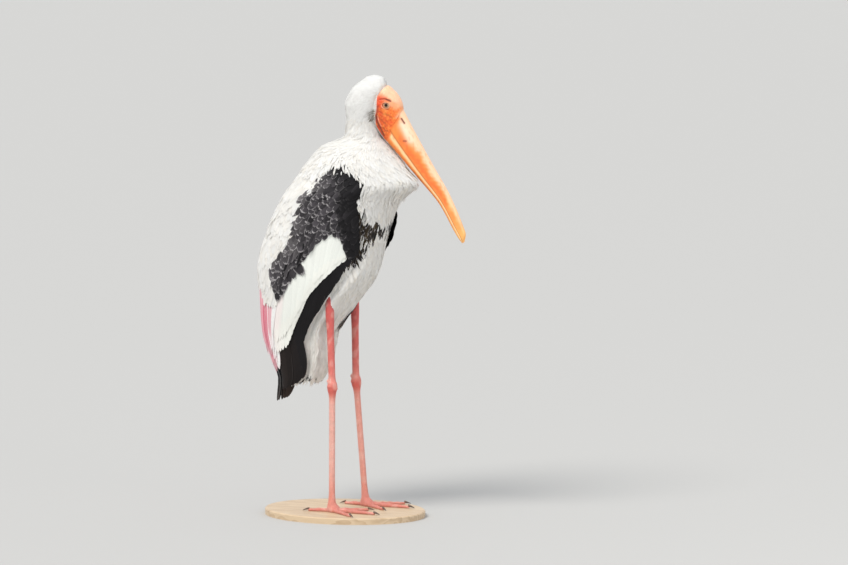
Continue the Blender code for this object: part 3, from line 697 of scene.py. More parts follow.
class NodeSheet:
    """A writer for one node tree."""

    def __init__(self, tree: bpy.types.NodeTree) -> None:
        """Keeps the tree."""
        self.tree = tree

    def node(self, kind: str, inputs: dict | None = None, **settings: object) -> bpy.types.Node:
        """Adds a node.

        Args:
            kind: Its type without the leading ShaderNode.
            inputs: Values or sockets by input name or number.
            **settings: Properties of the node.

        Returns:
            The node.
        """
        made = self.tree.nodes.new("ShaderNode" + kind)
        for key, value in settings.items():
            setattr(made, key, value)
        self.feed(made, inputs or {})
        return made

    def feed(self, node: bpy.types.Node, inputs: dict) -> None:
        """Links sockets to a node's inputs and sets the others to plain values."""
        for key, value in inputs.items():
            if isinstance(value, bpy.types.NodeSocket):
                self.tree.links.new(value, node.inputs[key])
            else:
                node.inputs[key].default_value = value

    def math(self, operation: str, *values: object) -> bpy.types.NodeSocket:
        """The result of one Math node."""
        return self.node("Math", dict(enumerate(values)), operation=operation).outputs[0]

    def scaled(self, value: object, factor: object, offset: object = 0.0) -> bpy.types.NodeSocket:
        """A value times a factor, plus an offset."""
        return self.math("MULTIPLY_ADD", value, factor, offset)

    def place(self) -> bpy.types.NodeSocket:
        """The place on the piece, in metres."""
        return self.node("TexCoord").outputs["Object"]

    def drawn(self, place: object, scale: Triple, turn: Triple = (0.0, 0.0, 0.0)) -> bpy.types.NodeSocket:
        """A place turned and stretched, so that noise on it draws out into streaks."""
        return self.node("Mapping", {"Vector": place, "Rotation": turn, "Scale": scale}).outputs[0]

    def mix(self, share: object, first: object, second: object, blend: str = "MIX") -> bpy.types.NodeSocket:
        """Two colours mixed by a share."""
        return self.node("Mix", {0: share, 6: first, 7: second}, data_type="RGBA", blend_type=blend).outputs[2]

    def tinted(self, light: bpy.types.NodeSocket) -> bpy.types.NodeSocket:
        """The piece's Tint colours, lighter or darker."""
        tint = self.node("Attribute", attribute_name="Tint").outputs["Color"]
        return self.mix(1.0, tint, self.node("CombineXYZ", {0: light, 1: light, 2: light}).outputs[0], "MULTIPLY")

    def step(self, value: object, low: float, high: float) -> bpy.types.NodeSocket:
        """A value taken from low..high to 0..1 with smooth ends."""
        return self.node("MapRange", {0: value, 1: low, 2: high}, interpolation_type="SMOOTHSTEP").outputs[0]

    def noise(self, place: object, scale: float, detail: float = 3.0, rough: float = 0.5) -> bpy.types.NodeSocket:
        """Noise from 0 to 1 at a place."""
        return self.node("TexNoise", {"Vector": place, "Scale": scale, "Detail": detail,
                                      "Roughness": rough}).outputs["Fac"]

    def bump(self, height: object, distance: float) -> bpy.types.NodeSocket:
        """A normal bent by a height."""
        return self.node("Bump", {"Height": height, "Distance": distance, "Strength": 1.0}).outputs["Normal"]


def vane_group() -> bpy.types.NodeTree:
    """The shared vane effect: barbs that sweep to the tip, a shaft, a pale fringe, from the Vane map.

    With e the distance from the shaft, 0 to 1, barbs are waves of (along - slant e) times their number; the
    fringe grows near e = 1 and near the tip.

    Returns:
        The node group, made once.
    """
    name = "Vane"
    if name in bpy.data.node_groups:
        return bpy.data.node_groups[name]
    group = bpy.data.node_groups.new(name, "ShaderNodeTree")
    for label, value in (("Barbs", 30.0), ("Slant", 0.25), ("Fringe From", 0.70)):
        group.interface.new_socket(label, in_out="INPUT", socket_type="NodeSocketFloat").default_value = value
    for label in ("Height", "Fringe", "Streak"):
        group.interface.new_socket(label, in_out="OUTPUT", socket_type="NodeSocketFloat")
    sheet = NodeSheet(group)
    given = group.nodes.new("NodeGroupInput").outputs
    across, along, _ = sheet.node("SeparateXYZ", {0: sheet.node("UVMap", uv_map="Vane").outputs[0]}).outputs
    e = sheet.math("ABSOLUTE", sheet.scaled(across, 2.0, -1.0))
    slanted = sheet.math("SUBTRACT", along, sheet.math("MULTIPLY", e, given["Slant"]))
    phase = sheet.math("MULTIPLY", slanted, given["Barbs"])
    wave = sheet.math("SINE", sheet.math("MULTIPLY", phase, TURN))
    lane = sheet.node("CombineXYZ", {0: sheet.math("MULTIPLY", across, 1.5), 1: sheet.math("MULTIPLY", phase, 0.22)})
    own = sheet.node("VectorMath", {0: sheet.place(), 1: (14.0, 14.0, 14.0)}, operation="MULTIPLY")
    shifted = sheet.node("VectorMath", {0: lane.outputs[0], 1: own.outputs[0]}, operation="ADD")
    streak = sheet.noise(shifted.outputs[0], 3.0, 2.0)
    shaft = sheet.math("SUBTRACT", 1.0, sheet.step(e, 0.02, 0.12))
    at_side = sheet.step(sheet.scaled(streak, 0.12, e), given["Fringe From"], 0.97)
    at_tip = sheet.step(sheet.math("SUBTRACT", along, given["Fringe From"]), 0.09, 0.14)
    fringe = sheet.math("MULTIPLY", sheet.math("MAXIMUM", at_side, at_tip), sheet.step(along, 0.30, 0.55))
    height = sheet.scaled(wave, 0.22, sheet.scaled(shaft, 0.5, sheet.math("MULTIPLY", streak, 0.6)))
    sheet.feed(group.nodes.new("NodeGroupOutput"), {"Height": height, "Fringe": fringe, "Streak": streak})
    return group


def new_material(name: str) -> tuple[bpy.types.Material, NodeSheet, bpy.types.Node]:
    """A fresh material with its node writer and its Principled shader."""
    material = bpy.data.materials.new(name)
    material.use_nodes = True
    return material, NodeSheet(material.node_tree), material.node_tree.nodes["Principled BSDF"]


@dataclass(frozen=True)
class PlumageFinish:
    """Feather: the piece's own Tint colours, with barbs, shaft and fringe."""

    name: str
    fringe: Colour = (0.80, 0.79, 0.78)
    roughness: float = 0.62
    sheen: float = 0.25
    barbs: float = 30.0
    slant: float = 0.25
    fringe_from: float = 0.70
    streaking: float = 0.20  # how far the barbs' lightness varies
    relief: float = 0.00025
    gloss: float = 0.35
    through: float = 0.0  # share of the light that passes through a vane

    def make(self) -> bpy.types.Material:
        """Builds the material."""
        material, sheet, shader = new_material(self.name)
        vane = sheet.node("Group", node_tree=vane_group())
        sheet.feed(vane, {"Barbs": self.barbs, "Slant": self.slant, "Fringe From": self.fringe_from})
        shaded = sheet.tinted(sheet.scaled(vane.outputs["Streak"], self.streaking, 1.0 - self.streaking / 2))
        strength = sheet.node("Attribute", attribute_name="Tint").outputs["Alpha"]
        colour = sheet.mix(sheet.math("MULTIPLY", vane.outputs["Fringe"], strength), shaded, (*self.fringe, 1))
        sheet.feed(shader, {"Base Color": colour, "Normal": sheet.bump(vane.outputs["Height"], self.relief),
                            "Roughness": self.roughness, "Sheen Weight": self.sheen, "Sheen Roughness": 0.6,
                            "Specular IOR Level": self.gloss})
        if self.through:
            behind = sheet.node("BsdfTranslucent", {"Color": colour})
            both = sheet.node("MixShader", {0: self.through, 1: shader.outputs[0], 2: behind.outputs[0]})
            sheet.feed(sheet.tree.nodes["Material Output"], {"Surface": both.outputs[0]})
        return material


@dataclass(frozen=True)
class SkinFinish:
    """Bare skin: Tint colours with fine grain, and polygonal scales where the piece has them."""

    name: str
    roughness: float = 0.48
    scales: float = 0.0  # scales across a metre; 0 for smooth skin
    mottle: float = 0.25
    grain: float = 900.0
    relief: float = 0.0003
    subsurface: float = 0.15
    dark: Colour = (0.35, 0.05, 0.03)
    plate_shade: float = 0.16  # how dark the lines between scales are
    plate_relief: float = 1.4

    def make(self) -> bpy.types.Material:
        """Builds the material."""
        material, sheet, shader = new_material(self.name)
        place = sheet.place()
        blotch = sheet.noise(place, 160.0, 4.0, 0.6)
        fine = sheet.noise(place, self.grain, 2.0)
        colour = sheet.tinted(sheet.scaled(blotch, self.mottle, 1.0 - self.mottle / 2))
        height = sheet.scaled(blotch, 0.7, sheet.math("MULTIPLY", fine, 0.35))
        if self.scales:
            cells = sheet.node("TexVoronoi", {"Vector": place, "Scale": self.scales, "Randomness": 0.7},
                               feature="DISTANCE_TO_EDGE").outputs["Distance"]
            plate = sheet.step(cells, 0.02, 0.22)
            colour = sheet.mix(sheet.scaled(plate, -self.plate_shade, self.plate_shade), colour, (*self.dark, 1))
            height = sheet.scaled(plate, self.plate_relief, sheet.math("MULTIPLY", height, 0.5))
        sheet.feed(shader, {"Base Color": colour, "Normal": sheet.bump(height, self.relief),
                            "Roughness": sheet.scaled(fine, 0.16, self.roughness - 0.08),
                            "Subsurface Weight": self.subsurface, "Subsurface Radius": (0.003, 0.001, 0.0006)})
        return material


@dataclass(frozen=True)
class HornFinish:
    """Horn: Tint colours with long fine streaks and a satin coat."""

    name: str
    roughness: float = 0.34
    streaks: Triple = (220.0, 260.0, 60.0)
    depth: float = 0.14
    relief: float = 0.00018

    def make(self) -> bpy.types.Material:
        """Builds the material."""
        material, sheet, shader = new_material(self.name)
        place = sheet.place()
        along = sheet.drawn(place, self.streaks, (0.0, math.radians(-28), math.radians(-10)))
        streak = sheet.noise(along, 1.0, 4.0, 0.55)
        cloud = sheet.noise(place, 60.0, 3.0)
        colour = sheet.tinted(sheet.scaled(sheet.math("ADD", streak, cloud), self.depth, 1.0 - self.depth))
        sheet.feed(shader, {"Base Color": colour, "Normal": sheet.bump(streak, self.relief),
                            "Roughness": sheet.scaled(cloud, 0.14, self.roughness - 0.06),
                            "Coat Weight": 0.12, "Coat Roughness": 0.25, "Subsurface Weight": 0.08,
                            "Subsurface Radius": (0.003, 0.0016, 0.0008)})
        return material


@dataclass(frozen=True)
class EyeFinish:
    """The wet eye: Tint colours with fine spokes under a clear coat."""

    name: str

    def make(self) -> bpy.types.Material:
        """Builds the material."""
        material, sheet, shader = new_material(self.name)
        colour = sheet.tinted(sheet.scaled(sheet.noise(sheet.place(), 1800.0), 0.4, 0.8))
        sheet.feed(shader, {"Base Color": colour, "Roughness": 0.25, "Specular IOR Level": 0.1, "Coat Weight": 1.0,
                            "Coat IOR": 1.22, "Coat Roughness": 0.04})
        return material


@dataclass(frozen=True)
class OakFinish:
    """Pale oak: long grain with darker rings and pores under satin varnish."""

    name: str
    pale: Colour = (0.56, 0.42, 0.27)
    dark: Colour = (0.38, 0.25, 0.14)

    def make(self) -> bpy.types.Material:
        """Builds the material."""
        material, sheet, shader = new_material(self.name)
        place = sheet.place()
        drawn = sheet.drawn(place, (2.2, 26.0, 26.0))
        ring = sheet.math("FRACT", sheet.math("MULTIPLY", sheet.noise(drawn, 0.8), 9.0))
        grain = sheet.math("MULTIPLY", sheet.step(ring, 0.1, 0.9), sheet.noise(drawn, 6.0, 5.0, 0.65))
        pores = sheet.noise(sheet.drawn(place, (60.0, 900.0, 900.0)), 1.0)
        sheet.feed(shader, {"Base Color": sheet.mix(grain, (*self.pale, 1), (*self.dark, 1)),
                            "Normal": sheet.bump(pores, 0.0003), "Roughness": sheet.scaled(pores, 0.2, 0.38)})
        return material


class Finish(Enum):
    """The named finishes of this bird."""

    WHITE = PlumageFinish("white_plumage", roughness=0.75, sheen=0.15, barbs=22.0, streaking=0.10, relief=0.0001,
                          gloss=0.2, through=0.40)
    BLACK = PlumageFinish("black_plumage", fringe=(0.34, 0.32, 0.32), roughness=0.5, sheen=0.0, barbs=34.0,
                          fringe_from=0.80, streaking=0.8, gloss=0.13)
    QUILL = PlumageFinish("flight_quills", fringe=(0.12, 0.11, 0.11), roughness=0.42, sheen=0.0, barbs=90.0,
                          slant=0.06, fringe_from=0.93, streaking=0.6, gloss=0.14)
    PANEL = PlumageFinish("white_quills", fringe=(0.88, 0.87, 0.80), roughness=0.68, sheen=0.1, barbs=70.0,
                          slant=0.08, streaking=0.10, relief=0.00008, gloss=0.2, through=0.15)
    ROSE = PlumageFinish("rose_plumage", fringe=(0.90, 0.74, 0.74), roughness=0.65, sheen=0.15, barbs=60.0,
                         slant=0.12, fringe_from=0.88, streaking=0.30, relief=0.0001, gloss=0.2, through=0.18)
    DOWN = SkinFinish("down_skin", roughness=0.85, subsurface=0.0, mottle=0.15)
    FACE = SkinFinish("face_skin", roughness=0.50, scales=700.0, mottle=0.40, relief=0.00022, dark=(0.62, 0.08, 0.02),
                      plate_shade=0.06, plate_relief=0.4)
    LEG = SkinFinish("leg_skin", roughness=0.50, scales=620.0, mottle=0.40, relief=0.0003, subsurface=0.1,
                     plate_shade=0.11)
    HORN = HornFinish("bill_horn")
    CLAW = HornFinish("claw_horn", roughness=0.4, depth=0.2)
    EYE = EyeFinish("wet_eye")
    OAK = OakFinish("pale_oak")

    def material(self) -> bpy.types.Material:
        """The finish's material, made once."""
        found = bpy.data.materials.get(self.value.name)
        return found if found else self.value.make()


def dress(piece: bpy.types.Object, slot: str, replaced: Sequence[str] = (), finish: Finish | None = None) -> None:
    """Gives a piece its finish and its body, hides the nodes that it stands for, and reports it with its record slot.
    """
    if finish is not None:
        piece.data.materials.clear()
        piece.data.materials.append(finish.material())
    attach(piece, "root")
    if replaced:
        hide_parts(*replaced)
    log.info("%s: %d faces, slot %s, stands for %s", piece.name, len(piece.data.polygons), slot,
             ", ".join(replaced) or "no node")


# ---------------------------------------------------------------- skin

# The line of the feathers round the face, in the head's plane: heights, then how far forward.
HEAD_EDGE = ((0.690, 0.706, 0.720, 0.741, 0.7544, 0.7683, 0.7781, 0.7917, 0.8006, 0.8107, 0.8144, 0.8200),
             (0.1200, 0.0885, 0.0795, 0.0707, 0.0707, 0.0737, 0.0743, 0.0747, 0.0788, 0.0869, 0.0917, 0.1200))
# The eye: its middle in the head's plane, the radius that its lids clear, and degrees that it looks forward.
EYE_PLACE, EYE_RADIUS, EYE_TURN = (0.0915, 0.0170, 0.7776), 0.0085, 10.0


def head_plane(points: Array) -> Array:
    """Places of the head before its turn: forward, across, height above the soles."""
    local = points - ORIGIN
    share = smooth_step(local[..., 2], OUTLINE.turn_start, OUTLINE.turn_end)
    return turn_head(local, -share)


def line_distance(places: Array, path: Sequence[Sequence[float]]) -> Array:
    """The distance from places to the nearest point of a line of straight lengths, in a plane.

    Args:
        places: Places, an array (..., 2).
        path: Corners of the line.

    Returns:
        One distance for each place.
    """
    corners = np.array(path, float)
    best = np.full(places.shape[:-1], np.inf)
    for start, end in zip(corners[:-1], corners[1:]):
        way = end - start
        share = np.clip(((places - start) @ way) / (way @ way), 0, 1)
        best = np.minimum(best, np.linalg.norm(places - start - share[..., None] * way, axis=-1))
    return best


def streak_along(places: Array, path: Sequence[Sequence[float]], width: float) -> Array:
    """A soft streak along a line: 1 on it, falling off over a width."""
    return bell(line_distance(places, path), width)


def behind_edge(places: Array) -> Array:
    """How far places in the head's plane lie behind the line of the feathers round the face."""
    return smooth_curve(places[..., 1], *HEAD_EDGE) - places[..., 0]


def eye_axis(sign: int) -> Array:
    """The direction in which the left (1) or right (-1) eye looks, before the head's turn."""
    return np.array([math.sin(math.radians(EYE_TURN)), sign * math.cos(math.radians(EYE_TURN)), 0.0])


@dataclass(frozen=True)
class Crease:
    """A fold of the face: its line in the head's plane, half width, depth, and how strong the brown painted shade
    along it is.
    """

    path: tuple
    width: float
    depth: float
    dark: float

    def at(self, places: Array) -> Array:
        """Share of the fold at each place."""
        return streak_along(places, self.path, self.width)


@dataclass
class Leg:
    """One bare leg: tarsus, knobbed ankle, shin, foot and four toes, with the places of its joints."""

    side: str
    foot: tuple[float, float]
    ankle: tuple[float, float, float]
    top: tuple[float, float, float]
    sole_height: float = 0.017
    ankle_radius: float = 0.0094
    # Turned profiles from bottom to top: share of the length, radius.
    tarsus: tuple = ((0.0, 0.0072), (0.05, 0.0066), (0.12, 0.0056), (0.5, 0.0056), (0.85, 0.0058), (0.90, 0.0068),
                     (0.935, 0.0086), (0.962, 0.0094), (0.985, 0.0088), (1.0, 0.0080))
    shin: tuple = ((0.0, 0.0084), (0.05, 0.0070), (0.10, 0.0064), (0.55, 0.0066), (0.80, 0.0080), (1.0, 0.0080))
    hub: tuple = ((0.0, 0.0085, 0.0165), (0.004, 0.0100, 0.0180), (0.010, 0.0092, 0.0140),
                  (0.017, 0.0078, 0.0078), (0.021, 0.0070, 0.0070))
    # Toes: degrees from straight ahead (outwards is positive), length without claw, radius, number of joints.
    toes: dict = field(default_factory=lambda: {
        "middle": (2, 0.090, 0.0048, 4), "outer": (38, 0.077, 0.0044, 5), "inner": (-36, 0.070, 0.0044, 3),
        "hind": (172, 0.046, 0.0044, 2)})
    # Knobs of the ankle: metres ahead, outwards and up from its middle, radius.
    knobs: tuple = ((-0.0048, 0.0, 0.0110, 0.0062), (0.0046, 0.0, -0.0030, 0.0060),
                    (-0.0020, 0.0042, -0.0012, 0.0062), (-0.0020, -0.0042, 0.0010, 0.0062))
    claw_length: float = 0.012
    claw_lift: float = 0.0005
    claw_root: Colour = (0.060, 0.036, 0.026)
    claw_tip: Colour = (0.16, 0.09, 0.06)
    voxel: float = 0.0012

    @staticmethod
    def rod(start: Array, end: Array, profile: Sequence, rows: int = 120) -> Array:
        """Rings of a rod between two points: its radius is a smooth curve through the profile.

        A level ring is 6% deeper fore and aft than its mean, and 3% narrower across, as a shank is.

        Args:
            start: Lower end.
            end: Upper end.
            profile: (share of length, radius) pairs.
            rows: Number of rings.

        Returns:
            Points, an array (1, rows, around, 3).
        """
        share = np.linspace(0, 1, rows)[:, None]
        radius = smooth_curve(share, *np.array(profile).T)
        angle = np.arange(28) * TURN / 28
        way = unit(end - start)
        across = unit(np.cross(way, (1.0, 0.0, 0.0)))
        along = np.cross(across, way)
        middle = start + (end - start) * share[..., None]
        ring = np.cos(angle)[:, None] * along * 1.06 + np.sin(angle)[:, None] * across * 0.97
        return (middle + radius[..., None] * ring)[None]

    def on_floor(self, degrees: float, forward: Array, sideways: Array, up: Array) -> Array:
        """Points measured from the foot: along a toe's direction, across it, and up from the sole."""
        outwards = 1 if self.side == "left" else -1
        angle = math.radians(outwards * degrees)
        x = self.foot[0] + forward * math.cos(angle) - sideways * math.sin(angle)
        y = self.foot[1] + forward * math.sin(angle) + sideways * math.cos(angle)
        return np.stack(np.broadcast_arrays(x, y, up), axis=-1) + ORIGIN

    def toe_rings(self, degrees: float, length: float, radius: float, joints: int) -> Array:
        """Half-round rings along a toe, flat below, that swell at each joint and narrow to the claw."""
        share = np.linspace(0, 1, 46)[:, None]
        angle = np.radians(np.linspace(-50, 230, 19))
        size = radius * (1 - 0.40 * share) * (1 + 0.09 * np.cos(TURN * joints * share))
        size = size * (1 - 0.35 * smooth_step(share, 0.93, 1.0))
        up = np.maximum(size * (math.sin(math.radians(50)) + np.sin(angle)), 0)
        return self.on_floor(degrees, 0.004 + (length + 0.0012 - 0.004) * share, size * np.cos(angle), up)[None]

    def claw_rings(self, degrees: float, length: float, radius: float) -> Array:
        """Round rings of a claw that bends down from the toe's end and stays just off the floor."""
        share = np.linspace(0, 1, 18)[:, None]
        angle = np.arange(18) * math.pi / 9
        size = radius * 0.52 * (1 - 0.86 * share**1.3)
        middle = self.claw_lift + size + radius * 0.47 * (1 - share) ** 0.7
        forward = length - 0.0006 + (self.claw_length + 0.0010) * share + 0 * angle
        return self.on_floor(degrees, forward, size * 0.85 * np.cos(angle), middle + size * np.sin(angle))[None]

    def body(self) -> bpy.types.Object:
        """The bare leg as one closed mesh: its rods, hub and toes are remeshed together."""
        sheet = MeshSheet()
        foot = np.array([*self.foot, self.sole_height - 0.006]) + ORIGIN
        ankle, top = np.array(self.ankle) + ORIGIN, np.array(self.top) + ORIGIN
        way = unit(top - ankle)
        sheet.add(self.rod(foot, ankle + (0, 0, self.ankle_radius), self.tarsus))
        sheet.add(self.rod(ankle + way * self.ankle_radius * 0.4, top, self.shin))
        for *offset, radius in self.knobs:
            half = np.array([0.0, 0.0, radius])
            ball = [(share, radius * max(math.sin(math.pi * share), 0.03)) for share in np.linspace(0, 1, 9)]
            sheet.add(self.rod(ankle + offset - half, ankle + offset + half, ball, 24))
        around = np.arange(40) * TURN / 40
        levels = np.linspace(0, self.hub[-1][0], 14)[:, None]
        knots, *reaches = np.array(self.hub).T
        back, front = (smooth_curve(levels, knots, reach) for reach in reaches)
        reach = back + (front - back) * np.clip(np.cos(around), 0, 1) ** 0.7
        ring = self.foot[0] + reach * np.cos(around), self.foot[1] + reach * np.sin(around), levels + 0 * around
        sheet.add((np.stack(ring, axis=-1) + ORIGIN)[None])
        for degrees, length, radius, joints in self.toes.values():
            sheet.add(self.toe_rings(degrees, length, radius, joints))
        made = sheet.make("leg_" + self.side)
        remesh = made.modifiers.new("join", "REMESH")
        remesh.mode, remesh.voxel_size, remesh.use_smooth_shade = "VOXEL", self.voxel, True
        mesh = settled(made)
        points = mesh_points(mesh)
        points[:, 2] = np.where(points[:, 2] - ORIGIN[2] < self.voxel * 0.5, ORIGIN[2], points[:, 2])
        mesh.vertices.foreach_set("co", points.astype(np.float32).ravel())
        return made

    def claws(self) -> bpy.types.Object:
        """The foot's four claws."""
        sheet = MeshSheet()
        for degrees, length, radius, _ in self.toes.values():
            rings = self.claw_rings(degrees, length, radius)
            root = spread_colour(self.claw_root, rings.shape[:3])
            sheet.add(rings, with_fringe(blend_colours(root, (self.claw_tip, np.linspace(1, 0, 18)[:, None] ** 2))))
        return sheet.make("claws_of_" + self.side + "_foot")


def mesh_points(mesh: bpy.types.Mesh) -> Array:
    """The mesh's points as an array (points, 3)."""
    flat = np.empty(len(mesh.vertices) * 3, np.float32)
    mesh.vertices.foreach_get("co", flat)
    return flat.reshape(-1, 3).astype(float)


def read_whole(rows: bpy.types.bpy_prop_collection, label: str) -> Array:
    """One whole number of each row of a mesh."""
    values = np.empty(len(rows), np.int32)
    rows.foreach_get(label, values)
    return values


def settled(piece: bpy.types.Object) -> bpy.types.Mesh:
    """Applies a piece's modifiers to its mesh, and returns the new mesh."""
    bpy.context.view_layer.update()
    graph = bpy.context.evaluated_depsgraph_get()
    mesh = bpy.data.meshes.new_from_object(piece.evaluated_get(graph))
    piece.modifiers.clear()
    old, piece.data = piece.data, mesh
    bpy.data.meshes.remove(old)
    mesh.name = piece.name
    return mesh


LEGS = (Leg("right", (0.000, -0.050), (0.000, -0.048, 0.239), (-0.008, -0.044, 0.415)),
        Leg("left", (0.023, 0.050), (0.004, 0.048, 0.238), (0.003, 0.045, 0.415)))


class Shade(Enum):
    """Feather colours, linear."""

    WHITE = (0.91, 0.90, 0.875)
    WARM = (0.90, 0.86, 0.79)
    PANEL = (0.85, 0.86, 0.80)
    PANEL_PINK = (0.90, 0.66, 0.68)
    FACE_EDGE = (0.88, 0.78, 0.70)
    FACE_EDGE_ROOT = (0.86, 0.66, 0.54)
    EAR = (0.19, 0.14, 0.075)
    BLACK = (0.009, 0.008, 0.009)
    SLATE = (0.058, 0.052, 0.057)
    GREY = (0.13, 0.12, 0.12)
    BROWN = (0.026, 0.016, 0.011)
    OLIVE = (0.060, 0.042, 0.020)
    STREAK = (0.07, 0.055, 0.045)
    WORN = (0.075, 0.045, 0.028)
    PALE_ROSE = (0.86, 0.60, 0.62)
    ROSE = (0.80, 0.27, 0.34)
    DEEP_ROSE = (0.66, 0.055, 0.125)

    def over(self, count: int) -> Array:
        """The colour for each of a number of places, an array (count, 3)."""
        return np.tile(np.array(self.value), (count, 1))


DARK_AREAS = (WING.dark_coverts, WING.between(WING.greater_tips, WING.wing_edge), np.array(WING.breast_band))


@dataclass
class Skin:
    """The bird's one skin: the feathered body inside the coat, the bare face with its lids and folds, the legs."""

    body_coat: float = 0.0050
    head_coat: float = 0.0024
    lid_opening: float = 0.0058
    lid_squeeze: float = 0.78  # how far the upper lid comes down over a round opening
    lid_droop: float = 0.92  # the same for the lower lid
    lid_height: float = 0.0008
    lid_spread: float = 0.0062  # how far round the opening the lid reaches
    cheek: tuple = ((0.0780, 0.7830), (0.0840, 0.7640), (0.0900, 0.7450), (0.0890, 0.7250))
    brow_swell: tuple = ((0.083, 0.7897), (0.091, 0.7914), (0.099, 0.7890))
    brow: Crease = Crease(((0.0805, 0.7878), (0.0876, 0.7892), (0.0950, 0.7876), (0.1004, 0.7846)),
                          0.0015, 0.0013, 0.50)
    # The folds of cheek, jaw and throat, each with brown painted shade along its line.
    creases: tuple = (
        Crease(((0.0835, 0.7715), (0.0890, 0.7675), (0.0965, 0.7690)), 0.0013, 0.0006, 0.30),
        Crease(((0.0800, 0.7645), (0.0880, 0.7590), (0.0960, 0.7575), (0.1040, 0.7520)), 0.0016, 0.0007, 0.30),
        Crease(((0.0765, 0.7530), (0.0850, 0.7465), (0.0910, 0.7400)), 0.0015, 0.0006, 0.28),
        Crease(((0.0722, 0.7540), (0.0742, 0.7440), (0.0785, 0.7335), (0.0850, 0.7185)), 0.0021, 0.0015, 0.90),
        Crease(((0.0760, 0.7740), (0.0745, 0.7620), (0.0715, 0.7500)), 0.0030, 0.0008, 0.65),
        Crease(((0.0860, 0.7330), (0.0900, 0.7280), (0.0945, 0.7270)), 0.0011, 0.0008, 0.50),
    )
    fold: tuple = ((0.0757, 0.7570), (0.0780, 0.7450), (0.0815, 0.7365))  # the pale fold behind the jaw
    glow: tuple = ((0.0885, 0.7700), (0.0915, 0.7655), (0.0900, 0.7590))  # the light patch under the eye
    orange: Colour = (0.83, 0.180, 0.022)
    gold: Colour = (0.88, 0.330, 0.060)
    deep_orange: Colour = (0.66, 0.060, 0.011)
    peach: Colour = (0.87, 0.53, 0.33)
    cream: Colour = (0.88, 0.50, 0.27)
    # brown: painted shade in the folds and under the brow
    brown: Colour = (0.17, 0.026, 0.012)
    # painted shade along the net of fine folds
    wrinkle_shade_red: Colour = (0.50, 0.040, 0.012)
    fold_pink: Colour = (0.86, 0.42, 0.28)
    # a pale ring on the lids, partly their own colour and partly painted highlight on the lower lid
    pale_lid_and_highlight: Colour = (0.88, 0.64, 0.48)
    # painted shade at the edge of the lid opening, stronger under the upper lid
    lid_rim_shadow: Colour = (0.16, 0.034, 0.016)
    feather_edge: Colour = (0.88, 0.80, 0.74)
    # pale pink of random mottling, and painted highlight on the right tarsus and above the ankle
    leg_pale_and_highlight: Colour = (0.82, 0.48, 0.40)
    # Heights above the soles and the leg's colours there.
    leg_knots: tuple = (0.0, 0.03, 0.12, 0.215, 0.232, 0.250, 0.27, 0.34, 0.42)
    leg_shades: tuple = ((0.64, 0.22, 0.17), (0.70, 0.26, 0.20), (0.76, 0.31, 0.24), (0.74, 0.27, 0.21),
                         (0.66, 0.12, 0.09), (0.74, 0.25, 0.20), (0.70, 0.17, 0.14), (0.66, 0.13, 0.11),
                         (0.52, 0.07, 0.07))

    def body_rings(self) -> Array:
        """Level rings of the feathered body, inside the outline by the depth of the coat."""
        height = np.concatenate([np.linspace(0.250, 0.69, 120), np.linspace(0.693, 0.826, 62)])[:, None]
        degrees = np.arange(132)[None, :] * 360 / 132
        coat = self.head_coat + (self.body_coat - self.head_coat) * (1 - smooth_step(height, 0.67, 0.72))
        return TRUNK.point(height, degrees, coat)[None]

    def face_rings(self) -> Array:
        """The face's sections with lids, folds and fine wrinkles.

        Each place moves out along its section's normal by the sum of the folds, and near an eye it rises to the
        lid: a rim just over the eyeball round the opening that falls back to the face within 6 mm.
        """
        share = np.linspace(0, 1, 130)[:, None]
        degrees = np.arange(264)[None, :] * 360 / 264
        plane = FACE.plane_point(share, degrees)
        normal = -unit(np.cross(np.roll(plane, -1, 1) - np.roll(plane, 1, 1), np.gradient(plane, axis=0)))
        side_view = plane[..., ::2]
        depth = sum(crease.depth * crease.at(side_view) for crease in (self.brow, *self.creases))
        depth = depth + 0.00042 * self.wrinkles(plane)
        depth = depth + 0.0013 * smooth_step(behind_edge(side_view), -0.0002, 0.0016)
        swell = 0.0011 * streak_along(side_view, self.brow_swell, 0.0022)
        fine = 0.00018 * ripple(plane, 0.0042, 5) + 0.00022 * ripple(plane, 0.0085, 6)
        plane = plane + normal * (swell - depth + fine)[..., None]
        for sign in (1, -1):
            plane = self.raise_lid(plane, sign)
        return (turn_head(plane) + ORIGIN)[None]

    def wrinkles(self, plane: Array) -> Array:
        """A net of fine folds below and behind the eye, 0 to 1: bands along the zero lines of two smooth ripples."""
        net = np.zeros(plane.shape[:-1])
        for wavelength, seed, width in ((0.013, 41, 0.17), (0.0085, 42, 0.15)):
            net = np.maximum(net, bell(ripple(plane * (1.15, 1.0, 0.9), wavelength, seed), width))
        return net * (1 - smooth_step(line_distance(plane[..., ::2], self.cheek), 0.008, 0.021))

    def past_lid(self, ahead: Array, rise: Array) -> Array:
        """How far outside the flattened opening of the lids a place lies, from its offset to the eye's middle."""
        return np.hypot(ahead, rise / np.where(rise > 0, self.lid_squeeze, self.lid_droop)) - self.lid_opening

    def raise_lid(self, plane: Array, sign: int) -> Array:
        """Lifts the face round one eye into a lid, and sinks it behind the eyeball inside the opening."""
        axis = eye_axis(sign)
        offset = plane - np.array(EYE_PLACE) * (1, sign, 1)
        out = offset @ axis
        flat = offset - out[..., None] * axis
        ball = np.sqrt(np.maximum(EYE_RADIUS**2 - np.minimum(np.linalg.norm(flat, axis=-1), EYE_RADIUS) ** 2, 0))
        past = self.past_lid(np.hypot(flat[..., 0], flat[..., 1]), flat[..., 2])
        rim = ball + self.lid_height * bell(past - 0.0010, 0.0011) + 0.0003
        outer = 1 - smooth_step(past, 0.0012, self.lid_spread)
        ring = 0.0004 * np.cos(past * TURN / 0.0022) * outer
        sunk = ball - 0.0025
        wanted = np.where(past < 0, sunk + (rim - sunk) * smooth_step(past, -0.0007, 0),
                          out + (np.maximum(rim, out) - out) * outer + ring)
        near = (out > 0.0) & (past < self.lid_spread)
        return plane + axis * np.where(near, wanted - out, 0)[..., None]

